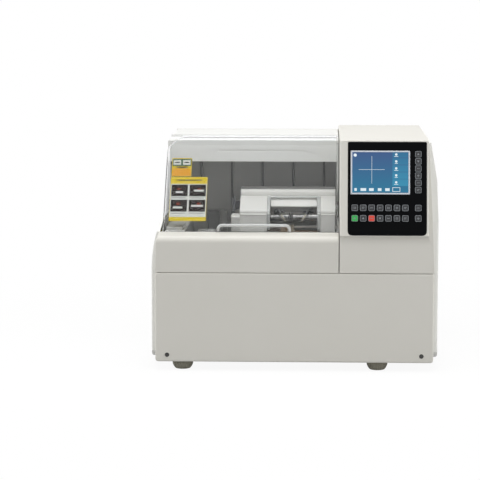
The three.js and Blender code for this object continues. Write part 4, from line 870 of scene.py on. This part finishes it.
def swept(name, path, radius, surface, sides=20):
    """A bar round a path: at each point a circle of the given radius in the plane of two normals, which are
    carried along by projecting the last pair onto the new plane."""
    path = np.asarray(path, float)
    radius = np.broadcast_to(np.asarray(radius, float), len(path))[:, None, None]
    way = np.gradient(path, axis=0)
    way /= np.linalg.norm(way, axis=1)[:, None]
    first = np.cross(way[0], [0.3, 0.2, 0.93])
    normals = []
    for direction in way:
        first = first - direction * (first @ direction)
        first /= np.linalg.norm(first)
        normals.append(first)
    normals = np.array(normals)
    binormals = np.cross(way, normals)
    turn = np.linspace(0, 2 * np.pi, sides, endpoint=False)[None, :, None]
    rings = path[:, None] + radius * (normals[:, None] * np.cos(turn) + binormals[:, None] * np.sin(turn))
    return put_shell(name, rings, grid_faces(len(path), sides), surface, 1.2)


bow = np.linspace(0, np.pi / 2, 10)
leg_share = 1 - bar_bend / np.linalg.norm(bar_at - foot_at)
climb = np.concatenate([[0.0, 0.5 * leg_share], leg_share + (1 - leg_share) * np.sin(bow)])
turn_in = np.concatenate([[0.0, 0.0], bar_bend * (1 - np.cos(bow))])
straight = np.linspace(bar_left + bar_bend, bar_right - bar_bend, 14)[1:-1]
handle_x = np.concatenate([bar_left + turn_in, straight, (bar_right - turn_in)[::-1]])
handle_climb = np.concatenate([climb, np.ones(len(straight)), climb[::-1]])
handle_path = np.column_stack([handle_x, foot_at + (bar_at - foot_at) * handle_climb[:, None]])
fit(swept("lid_handle_bar", handle_path, bar_radius, clear_bar), "lid", "lid_handle")

# Cards on the lid: two printed paper cards stuck inside the clear lid at its left. They carry plain blocks
# of colour where the real ones have print.
card_thickness, card_columns, card_rows = 0.25, 9, 13
tile_left, tile_low, tile_width, tile_height, tile_pitch, tile_rise = -253.6, 314.6, 33.4, 22.0, 37.2, 28.6


def card_ink(name, colour, second, patch_size, roughness=0.55):
    """Matt paper or ink, which mirrors little of the lamps."""
    return finish(f"card {name}", colour, second, roughness, 0.05, patch_size, 1800, 0.1, specular=0.08)


def card(name, x0, x1, z0, z1, surface, under):
    """A card under the lid's outer face: its outline is carried onto the lid's profile, row by row, at the
    distance `under`, and a second layer lies behind it."""
    line = lid_line()[:-4]
    across, height = np.meshgrid(np.linspace(x0, x1, card_columns), np.linspace(z0, z1, card_rows))
    lid_depth = np.interp(height, line[:, 1], line[:, 0])
    layers = [np.stack([across, lid_depth + off / lid_slope_cos, height], -1)
              for off in (under, under + card_thickness)]
    count = height.size
    top = grid_faces(card_rows, card_columns, wrap=False, caps=False)
    faces = top + [[corner + count for corner in face[::-1]] for face in top]
    index = np.arange(count).reshape(height.shape)
    edge = np.concatenate([index[0, :-1], index[:-1, -1], index[-1, :0:-1], index[:0:-1, 0]])
    faces += np.stack([edge, edge + count, np.roll(edge, -1) + count, np.roll(edge, -1)], 1).tolist()
    return fit(put_shell(name, np.stack(layers), faces, surface, 0.5), "lid")


card_yellow = card_ink("yellow", (204, 180, 8), (196, 170, 6), 60)
card_orange = card_ink("orange", (208, 146, 4), (198, 136, 4), 60)
card_green = card_ink("green", (58, 92, 66), (48, 80, 58), 60)
card_dark = card_ink("dark ink", (18, 16, 16), (44, 38, 36), 380, 0.6)
card_pale = card_ink("pale ink", (204, 206, 200), (192, 194, 190), 300)
card_ash = card_ink("grey ink", (140, 140, 136), (124, 124, 122), 300)
card_red = card_ink("red ink", (150, 66, 48), (120, 54, 44), 300)
# Each part's name, left, right, lower and upper edge, ink and distance under the lid's outer face.
for part in (
        ("upper_card", -255.5, -214.5, 380.5, 415.5, card_yellow, 3.4),
        ("upper_card_head", -254.3, -215.7, 400.4, 414.0, card_green, 3.1),
        ("upper_card_pill_left", -252.4, -237.2, 403.0, 411.6, card_pale, 2.9),
        ("upper_card_pill_right", -232.8, -217.6, 403.0, 411.6, card_pale, 2.9),
        ("upper_card_word_left", -249.5, -240.1, 406.2, 408.4, card_dark, 2.75),
        ("upper_card_word_right", -229.9, -220.5, 406.2, 408.4, card_dark, 2.75),
        ("upper_card_rule", -246, -223, 396.6, 399.2, card_dark, 3.1),
        ("upper_card_field", -254.3, -215.7, 381.5, 395.4, card_orange, 3.1),
        ("lower_card", -256, -180.5, 297.0, 379.5, card_yellow, 3.4),
        ("lower_card_rule", -244, -192, 372.6, 374.6, card_dark, 3.1),
        ("lower_card_sheet", -255.2, -181.3, 304.6, 366.6, card_pale, 3.1)):
    card(*part)
for row in range(2):
    for column in range(2):
        x0, z0 = tile_left + tile_pitch * column, tile_low + tile_rise * row
        tile = f"{row}_{column}"
        card(f"lower_card_tile_{tile}", x0, x0 + tile_width, z0, z0 + tile_height, card_dark, 2.9)
        card(f"lower_card_tool_{tile}", x0 + 5 + 4 * row, x0 + 24 + 5 * column, z0 + 6 + 3 * column,
             z0 + 9.5 + 3 * column, card_pale, 2.75)
        card(f"lower_card_knob_{tile}", x0 + 12 + 5 * column, x0 + 18 + 5 * column, z0 + 12.5,
             z0 + 16.5 - 1.5 * row, card_red, 2.75)
        card(f"lower_card_line_{tile}", x0 + 1, x0 + 30, z0 - 3.6, z0 - 2.4, card_ash, 2.9)

# Chamber liner: one dark grey plastic tub with a ribbed back wall, a shelf on its left and a drain. It drops
# into the body, is sealed to the front cover and the hood, and holds a tray, a rest, blocks and a spray pipe.
liner_grey = finish("liner plastic", (172, 172, 170), (158, 158, 156), 0.52, 0.1, 12, 1800, 0.6)
# The rib grey is painted shade. The ribs are darker than the liner for the shaded folds of the back wall, and
# the spray block's left part is darker for its shaded side.
painted_shade_grey = finish("rib and block painted shade", (104, 104, 104), (92, 92, 92), 0.5, 0.1, 30, 1800, 0.4)
tray_grey = finish("shelf plastic", (206, 206, 202), (196, 196, 192), 0.5, 0.08, 12, 1800, 0.4)
block_grey = finish("block plastic", (150, 150, 148), (136, 136, 134), 0.5, 0.08, 12, 1800, 0.4)
pipe_white = finish("pipe nylon", (244, 242, 236), (236, 234, 228), 0.35, 0.06, 30, 1500, 0.1)
rib_right, rib_pitch, rib_foot, rib_tip, rib_span = 59.1, 65.8, 2.9, 1.8, (276.4, 396.5)
wall_depth, rib_front = 330.4, 323.0
pipe_radius, pipe_depth, pipe_up = 2.4, 210, 268.5

eased_copy("chamber_tub", "chamber_liner", liner_grey, "housing", 1.0)
for number in range(5):
    x = rib_right - rib_pitch * number
    outline = arc_outline([(x - rib_foot, wall_depth, 0.3), (x - rib_tip, rib_front, 1.0),
                           (x + rib_tip, rib_front, 1.0), (x + rib_foot, wall_depth, 0.3)], 3)
    fit(carried(f"back_rib_{number}", outline, rib_span, "z", painted_shade_grey, (0.8, 0.8), 0.3), "housing")
shelf_rest_outline = arc_outline([(-262, 66, 3), (-229, 66, 3), (-226, 150, 3), (-262, 150, 3)])
for name, outline, span, surface, edges, support in (
        ("shelf_tray", rounded_box(-263.6, -223.2, 44.4, 326, 2), (275.9, 277.6), tray_grey, (0.2, 0.6), 0.3),
        ("shelf_rest", shelf_rest_outline, (277.5, 284.0), tray_grey, (0.2, 2.0), 0.4),
        ("spray_block", rounded_box(-190, -163, 296, 330.3, (3, 3, 0.5, 0.5)), (186, 292), painted_shade_grey,
         (2.0, 2.0), 0.8),
        ("spray_block_side", rounded_box(-162.6, -148, 299, 330.3, (2, 2, 0.5, 0.5)), (240, 292), block_grey,
         (2.0, 2.0), 0.8),
        ("front_step", rounded_box(-198, -163, 43.4, 100, (0.5, 0.5, 3, 3)), (246, 276.5), block_grey,
         (2.0, 2.0), 0.8)):
    fit(carried(name, outline, span, "z", surface, edges, support), "housing")
pipe_path = [(-2, pipe_depth, pipe_up - 2.3), (-1.6, pipe_depth, pipe_up - 0.9)]
pipe_path += [(x, pipe_depth, pipe_up) for x in (0.6, 4, 40, 87.5)]
fit(swept("spray_pipe", pipe_path, pipe_radius, pipe_white, 16), "housing")

# Spindle: one ground steel shaft with a wide hub to the right of the wheels, under a bronze sleeve, a nut at
# its left end and the driven pulley on its right end. It runs in the bearing stand of the base casting.
sleeve_bronze = finish("sleeve bronze", (156, 126, 92), (128, 102, 74), 0.42, 0.12, 60, 1500, 0.3,
                       metallic=0.35)
bolt_steel = finish("bolt steel", (120, 121, 123), (96, 97, 99), 0.35, 0.15, 200, 1500, 0.2, metallic=0.9)
wheel_centre = (0, 200, 224)
shaft_radius, flange_radius, hub_radius, journal_radius = 12, 16, 36, 17
sleeve_bore, sleeve_radius, sleeve_groove = 36.1, 38, 37.2
nut_at, nut_across, nut_height = (-71, 200, 224), 22, 5.9
pulley_left, pulley_right, pulley_radius = 156, 172, 25
groove_pitch, groove_depth = 1.6, 1.1


def belt_grooves(rim):
    """The ribbed stretch of a pulley's profile: eight steps, in turn below the rim and level with it."""
    return [(pulley_left + groove_pitch * k + shift, rim - groove_depth * (k % 2))
            for k in range(1, 9) for shift in (0.0, 1.0)]


def hexagon_nut(name, centre, across, height, surface):
    """A hexagonal nut along X: radius is across / (2 cos(angle from the nearest flat)), cut back at both
    faces to the chamfer circle."""
    angle = np.linspace(0, 2 * np.pi, 72, endpoint=False)
    hexagon = across / 2 / np.cos((angle + np.pi / 6) % (np.pi / 3) - np.pi / 6)
    chamfer = np.minimum(hexagon, across * 0.535)
    face = np.full(len(angle), across / 2 * 0.99 * 0.97)
    middle = np.full(len(angle), 0.02)
    radius = np.stack([middle, face, chamfer, hexagon, hexagon, chamfer, face, middle])
    along = np.array([[0, 0, 0.06, 0.16, 0.84, 0.94, 1, 1]]).T * height
    points = along_axis("x", along, radius * np.cos(angle), radius * np.sin(angle))
    return put_shell(name, points + np.array(centre, float), grid_faces(*radius.shape), surface, 0.5)


spindle_profile = [
    (-65, 0.02), (-65, flange_radius), (-57, flange_radius), (-57, shaft_radius), (-3, shaft_radius),
    (-3, hub_radius), (47, hub_radius), (47, shaft_radius), (104, shaft_radius), (104, journal_radius),
    (150, journal_radius), (150, shaft_radius), (pulley_left, shaft_radius), (pulley_left, pulley_radius),
    *belt_grooves(pulley_radius), (pulley_right, pulley_radius), (pulley_right, 14), (170.5, 13),
    (170.5, 0.02)]
sleeve_profile = [(-2.8, sleeve_bore), (-2.8, sleeve_radius)]
for x in (8, 32):
    sleeve_profile += [(x, sleeve_radius), (x + 0.6, sleeve_groove), (x + 3.4, sleeve_groove),
                       (x + 4, sleeve_radius)]
sleeve_profile += [(46.8, sleeve_radius), (46.8, sleeve_bore), (-2.8, sleeve_bore)]
fit(turned("spindle_shaft", eased(spindle_profile), wheel_centre, "x", bright_steel, 96),
    "spindle", "wheel_spindle")
fit(turned("hub_sleeve", eased(sleeve_profile, 0.4), wheel_centre, "x", sleeve_bronze, 96),
    "spindle")
fit(hexagon_nut("spindle_nut", nut_at, nut_across, nut_height, bolt_steel), "spindle")

# Wheels: diamond grit in a bronze bond on aluminium cores. The wide one has coarse grit for roughing; the
# other two have fine grit and a groove that cuts or polishes the bevel.
core_metal = finish("wheel core", (178, 180, 182), (160, 162, 165), 0.35, 0.1, 40, 1500, 0.15, metallic=0.85)
coarse_grit = finish("coarse grit", (104, 94, 82), (58, 54, 50), 0.82, 0.15, 900, 1500, 2.5)
fine_grit = finish("fine grit", (150, 128, 98), (112, 96, 76), 0.7, 0.12, 1300, 2400, 1.2)
polishing_grit = finish("polishing grit", (168, 156, 132), (140, 128, 108), 0.55, 0.12, 1600, 3000, 0.8)
wheel_radius, core_radius, core_bore, groove_floor, groove_half = 50, 44, 12.3, 47, 3.5
core_inset, core_dish = 0.4, 2.4
for kind, x0, x1, grit, slot in (("roughing", -56.7, -31.0, coarse_grit, "coarse_wheel"),
                                 ("bevel", -30.7, -17.0, fine_grit, "fine_wheel"),
                                 ("polishing", -16.7, -3.3, polishing_grit, "fine_wheel")):
    middle = (x0 + x1) / 2
    groove = [(middle - groove_half, wheel_radius), (middle, groove_floor),
              (middle + groove_half, wheel_radius)]
    face = [] if kind == "roughing" else groove
    rim_profile = [(x0, core_radius), (x0, wheel_radius), *face, (x1, wheel_radius), (x1, core_radius),
                   (x0, core_radius)]
    left, right, dish = x0 + core_inset, x1 - core_inset, x0 + core_dish
    core_profile = [(left, core_bore), (left, 20), (dish, 22), (dish, 38), (left, 40), (left, core_radius),
                    (right, core_radius), (right, core_bore), (left, core_bore)]
    fit(turned(f"{kind}_rim", eased(rim_profile, 0.35), wheel_centre, "x", grit, 128),
        "spindle", f"{kind}_wheel")
    fit(turned(f"{kind}_core", eased(core_profile, 0.4), wheel_centre, "x", core_metal, 96), "spindle")

# Drive: a finned motor on the base under the console turns the spindle with a ribbed rubber belt. It runs
# over a steel pulley on the motor and the pulley of the spindle.
motor_grey = finish("motor enamel", (58, 60, 63), (50, 52, 55), 0.48, 0.08, 40, 1500, 0.4)
belt_rubber = finish("belt rubber", (30, 30, 31), (24, 24, 25), 0.7, 0.1, 90, 1500, 0.5)
motor_axis, motor_pulley_radius, motor_bore = (0, 200, 92), 20, 6.3
motor_pulley_profile = [
    (pulley_left, motor_bore), (pulley_left, motor_pulley_radius), *belt_grooves(motor_pulley_radius),
    (pulley_right, motor_pulley_radius), (pulley_right, motor_bore), (pulley_left, motor_bore)]
eased_copy("motor_frame", "grinding_motor", motor_grey, "housing", 0.6, limit=0.5)
fit(turned("motor_pulley_rim", eased(motor_pulley_profile, 0.3), motor_axis, "x", bright_steel, 72),
    "motor_pulley", "motor_pulley")
eased_copy("ribbed_belt", "drive_belt", belt_rubber, "housing", 0.4, limit=1.0)

# Guide shaft: a hardened and ground steel bar that slides in the bearing stand. It takes the carriage along,
# and is the axis that the carriage swings about.
guide_left, guide_right, guide_radius, guide_axis = -110, 240, 9, (0, 245, 303)
fit(round_bar("guide_bar", guide_left, guide_right, guide_radius, guide_axis, bright_steel, 0.8, 64),
    "guide", "guide_shaft")

# Carriage: a die-cast drum with two arms in white paint, under white plastic covers. Those over the arms
# slope back above a lip and a face plate, and the left one has the low gear case and a dark bracket on its
# outer side. A shield closes the top of the window between them. A dark rail behind the lens shafts is
# painted shade for the dark band under them.
carriage_white = finish("carriage cover plastic", (216, 215, 211), (209, 208, 204), 0.42, 0.07, 10, 2600, 0.5)
# The head face plates are the carriage plastic painted lighter. This is painted light, making up for the
# shade they stand in under the sloping covers.
face_white_painted_light = finish("head face plastic painted lighter", (234, 233, 229), (228, 227, 223), 0.46, 0.07, 10, 2600, 0.5)
# The hood edge grey is painted shade. It is a dark strip over the rounded top edge of the carriage hood,
# which lies in the rear top cover's shade and mirrors the dark chamber.
hood_edge_shade_grey = finish("hood edge painted shade", (132, 131, 128), (120, 119, 117), 0.6, 0.08, 30, 1500, 0.4)
# The bracket's dark enamel also colours the rail behind the lens shafts, which is painted shade.
bracket_and_shade_dark = finish("bracket enamel and painted shade", (52, 54, 60), (44, 46, 52), 0.45, 0.08, 30, 1500, 0.3)
head_spans = {"left": (-113.6, -60.6), "right": (53.4, 81.8)}
face_front, face_back, face_low, face_high = 143.9, 145.2, 265, 303
window_span, shade_strip_span = (-51.9, 44.9), (-114.6, 82.6)
hood_bend_depth, hood_bend_up, shade_strip_radius, shade_strip_bore = 218.8, 336, 12.35, 11.6
shade_strip_back = 240
shade_rail_left, shade_rail_right, shade_rail_radius, shade_rail_axis = -62.5, 55.5, 3.2, (0, 208, 284)

for name, node, edge, steps, limit in (
        ("carriage_casting", "swing_carriage", 0.8, 2, 0.5),
        ("carriage_hood", "carriage_cover", 1.0, 2, 0.5),
        ("head_shell_left", "left_head_cover", 1.2, 3, 0.6),
        ("head_shell_right", "right_head_cover", 1.2, 3, 0.6)):
    eased_copy(name, node, carriage_white, "carriage", edge, steps, limit)

lip_outline = arc_outline([(143.1, 298.9, 0.3), (face_back, 298.9, 0.2), (face_back, 302.6, 0.2),
                           (144.2, 302.6, 0.5), (143.1, 301.4, 0.6)], 3)
shield_outline = arc_outline([(206.4, 331.5, 0.4), (204.6, 332.6, 0.4), (185.4, 315.0, 0.7),
                              (184.8, 312.8, 0.5), (186.8, 312.6, 0.6), (206.4, 328.8, 0.3)], 3)
# The shade strip wraps the hood's rounded top edge as a thin dark band of painted shade.
bend = np.radians(np.linspace(40, 90, 8))
shade_strip_arcs = [np.column_stack([hood_bend_depth - radius * np.cos(bend), hood_bend_up + radius * np.sin(bend)])
             for radius in (shade_strip_radius, shade_strip_bore)]
shade_strip_ends = [(shade_strip_back, hood_bend_up + shade_strip_radius), (shade_strip_back, hood_bend_up + shade_strip_bore)]
shade_strip_outline = np.concatenate([shade_strip_arcs[0], shade_strip_ends, shade_strip_arcs[1][::-1]])
bracket_outline = arc_outline([(188, 299.5, 2), (228, 299.5, 2), (228, 330, 5), (194, 330, 5)])
web_outline = rounded_box(213, 223, 304, 322, 1, 3)
for side, span in head_spans.items():
    fit(carried(f"head_lip_{side}", lip_outline, span, "x", carriage_white, (0.2, 0.2), 0.2),
        "carriage")
    face_outline = rounded_box(*span, face_low, face_high, (2, 2, 1.5, 1.5))
    fit(carried(f"head_face_{side}", face_outline, (face_front, face_back), "y", face_white_painted_light, (0.9, 0.1), 0.3),
        "carriage")
for name, outline, span, surface, edge, support in (
        ("window_shield", shield_outline, window_span, carriage_white, 0.3, 0.2),
        ("carriage_hood_shade_strip", shade_strip_outline, shade_strip_span, hood_edge_shade_grey, 0.1, 0.1),
        ("end_bracket", bracket_outline, (-131.2, -126.6), bracket_and_shade_dark, 0.5, 0.3),
        ("end_bracket_web", web_outline, (-126.8, -114.9), bracket_and_shade_dark, 0.4, 0.3)):
    fit(carried(name, outline, span, "x", surface, (edge, edge), support), "carriage")
# This dark rail is painted shade: it darkens the band under the lens shafts.
fit(round_bar("shade_rail", shade_rail_left, shade_rail_right, shade_rail_radius, shade_rail_axis, bracket_and_shade_dark, 0.5, 40),
    "carriage")

# Splash guard: a frame of clear plastic bent to the slope of the head covers and fixed to them at its
# corners by nylon screws. Their white heads are partly painted highlight, and the white rivets low on the
# side bars are painted highlight: bright dots where the bent frame catches the light.
guard_clear = finish("guard acrylic", (236, 237, 235), (224, 226, 225), 0.1, 0.05, 30, 900, 0.03, coat=0.5,
                     transmission=0.45)
# The white of the screw heads is partly painted highlight, and on the rivets it is wholly painted highlight.
screw_white_highlight = finish("nylon screw painted highlight", (250, 250, 248), (246, 246, 244), 0.3, 0.05, 60, 1500, 0.1)
screw_depth, highlight_rivet_up = 202, 303
screw_profile = [(333.6, 0.02), (333.6, 2.9), (334.3, 2.7), (334.9, 1.6), (334.6, 0.9), (334.4, 0.02)]
highlight_rivet_profile = [(145.3, 0.02), (145.3, 2.6), (144.7, 2.4), (144.0, 1.3), (143.9, 0.02)]
side_bar_outline = arc_outline([
    (145, 270, 0.8), (148, 270, 0.8), (148, 307.2, 3), (198.2, 331, 1.5), (206.4, 331, 0.8),
    (206.4, 334, 0.8), (197.5, 334, 3.5), (145, 309, 5)], 4, 0.3)
top_bar_outline = arc_outline([
    (196.4, 330.6, 0.8), (206.4, 330.6, 0.8), (206.4, 334, 0.8), (197.5, 334, 1.5)], 3, 0.3)
for name, outline, span, edge, support, node in (
        ("guard_bar_left", side_bar_outline, (-58.7, -52.2), 1.0, 0.3, "splash_guard"),
        ("guard_bar_right", side_bar_outline, (45.2, 51.7), 1.0, 0.3, None),
        ("guard_bar_top", top_bar_outline, (-52.3, 45.3), 0.2, 0.2, None)):
    fit(carried(name, outline, span, "x", guard_clear, (edge, edge), support),
        "carriage", node)
for side, x in (("left", -55.4), ("right", 48.4)):
    fit(turned(f"guard_screw_{side}", eased(screw_profile, 0.3), (x, screw_depth, 0), "z", screw_white_highlight, 32),
        "carriage")
    fit(turned(f"guard_highlight_rivet_{side}", eased(highlight_rivet_profile, 0.3), (x, 0, highlight_rivet_up), "y", screw_white_highlight, 32),
        "carriage")

# Lens shafts: steel shafts at the ends of the two arms, with dark rubber pads that clamp the lens. The right
# one is pushed in and out by a steel quill.
pad_rubber = finish("pad rubber", (44, 44, 46), (34, 34, 36), 0.65, 0.1, 120, 1800, 0.4)
shaft_steel = finish("shaft steel", (138, 138, 137), (118, 118, 117), 0.2, 0.1, 60, 1500, 0.1, metallic=0.95)
lens_axis = (0, 170, 293)
stem, neck, collar, pad = 4.6, 3.9, 5.4, 10
quill_bore, quill_neck, quill_ring, quill_back = 4.9, 5.6, 6.2, 11
left_shaft_profile = [
    (-111.7, 0.02), (-111.7, 8), (-60, 8), (-58, stem), (-46, stem), (-45.4, neck), (-43, neck),
    (-42.4, stem), (-22, stem), (-21, collar), (-13.9, collar), (-13.9, 0.02)]
left_pad_profile = [
    (-14.4, 0.02), (-14.4, 6.5), (-13.6, 9.6), (-11.3, pad), (-11, 9), (-11.4, 4), (-11.4, 0.02)]
quill_profile = [
    (24, quill_bore), (24, quill_neck), (25, quill_ring), (31, quill_ring), (31.6, quill_neck),
    (34, quill_neck), (34.6, quill_ring), (51, quill_ring), (53, quill_back), (62.5, quill_back),
    (62.5, quill_bore), (24, quill_bore)]
right_shaft_profile = [
    (-6.1, 0.02), (-6.1, collar), (1, collar), (2, stem), (8, stem), (8.6, neck), (10.4, neck), (11, stem),
    (62.5, stem), (62.5, 0.02)]
right_pad_profile = [(-8.6, 0.02), (-8.6, 4), (-9, 9), (-8.7, pad), (-6.4, 9.6), (-5.6, 6.5), (-5.6, 0.02)]
for name, profile, edge, surface, body, node in (
        ("left_lens_shaft_bar", left_shaft_profile, 0.5, shaft_steel, "left_lens_shaft", "left_chuck"),
        ("left_lens_pad", left_pad_profile, 0.4, pad_rubber, "left_lens_shaft", None),
        ("quill_sleeve", quill_profile, 0.4, shaft_steel, "quill", "clamp_quill"),
        ("right_lens_shaft_bar", right_shaft_profile, 0.4, shaft_steel, "right_lens_shaft", "right_chuck"),
        ("right_lens_pad", right_pad_profile, 0.4, pad_rubber, "right_lens_shaft", None)):
    fit(turned(name, eased(profile, edge), lens_axis, "x", surface), body, node)

# Feelers: two dark hooks on the rod between the arms, each with a claw that bends down to a pale stylus,
# which touches the lens near its rim.
hook_black = finish("hook enamel", (40, 42, 45), (32, 34, 37), 0.4, 0.08, 60, 1500, 0.3)
stylus_pale = finish("stylus tip", (214, 206, 188), (196, 188, 170), 0.35, 0.1, 80, 1500, 0.2)
rod_depth, rod_up, boss_half, boss_bore, boss_radius = 212, 296, 4, 2.8, 6
hook_knots = np.array([(0, rod_depth, rod_up), (0, 204, 298.5), (-0.4, 196, 300.6), (0.4, 190, 302),
                       (7, 187.6, 303.2), (13, 187, 303.4), (17.6, 186.6, 301.0)])
wire_knots = np.array([(4.0, 188, 303), (4.6, 181, 306.0), (5.8, 172, 307.6), (8.0, 162.6, 304.6),
                       (10.6, 160.0, 299.4), (14, 159.0, 294.6), (17.4, 158.4, 289.6), (20.5, 158.4, 284.6)])
claw_radii, stylus_radii = [3.0, 2.4, 2.0, 2.0, 1.6], [1.2, 1.4, 1.3, 1.2, 0.7]
share = np.linspace(0, 1, 25)
hook_radii = np.interp(share, [0, 0.3, 0.5, 0.68, 1], [3.8, 5.2, 6.0, 4.0, 1.8])
knot_width = 0.085


def smoothed(knots):
    """A path drawn smoothly along knots: each knot weighs exp(-((share - its share) / width)^2)."""
    weights = np.stack([np.exp(-((share - at) / knot_width) ** 2) for at in np.linspace(0, 1, len(knots))], 1)
    return weights / weights.sum(1)[:, None] @ knots


def facing(path, pivot, inwards):
    """The path with its first coordinate counted from the pivot towards the other feeler."""
    return np.column_stack([pivot + inwards * path[:, 0], path[:, 1:]])


for side, pivot, inwards in (("left", -40.5, 1.0), ("right", 32.5, -1.0)):
    body = f"{side}_feeler"
    wire = facing(wire_knots, pivot, inwards)
    hook = swept(f"{body}_hook", facing(smoothed(hook_knots), pivot, inwards), hook_radii, hook_black)
    boss = round_tube(f"{body}_boss", pivot - boss_half, pivot + boss_half, boss_bore, boss_radius,
                      (0, rod_depth, rod_up), hook_black, 0.7, 48)
    claw = swept(f"{body}_claw", wire[:5], claw_radii, hook_black)
    stylus = swept(f"{side}_stylus", wire[3:], stylus_radii, stylus_pale, 16)
    for piece in (boss, claw, stylus):
        fit(piece, body)
    fit(hook, body, body)
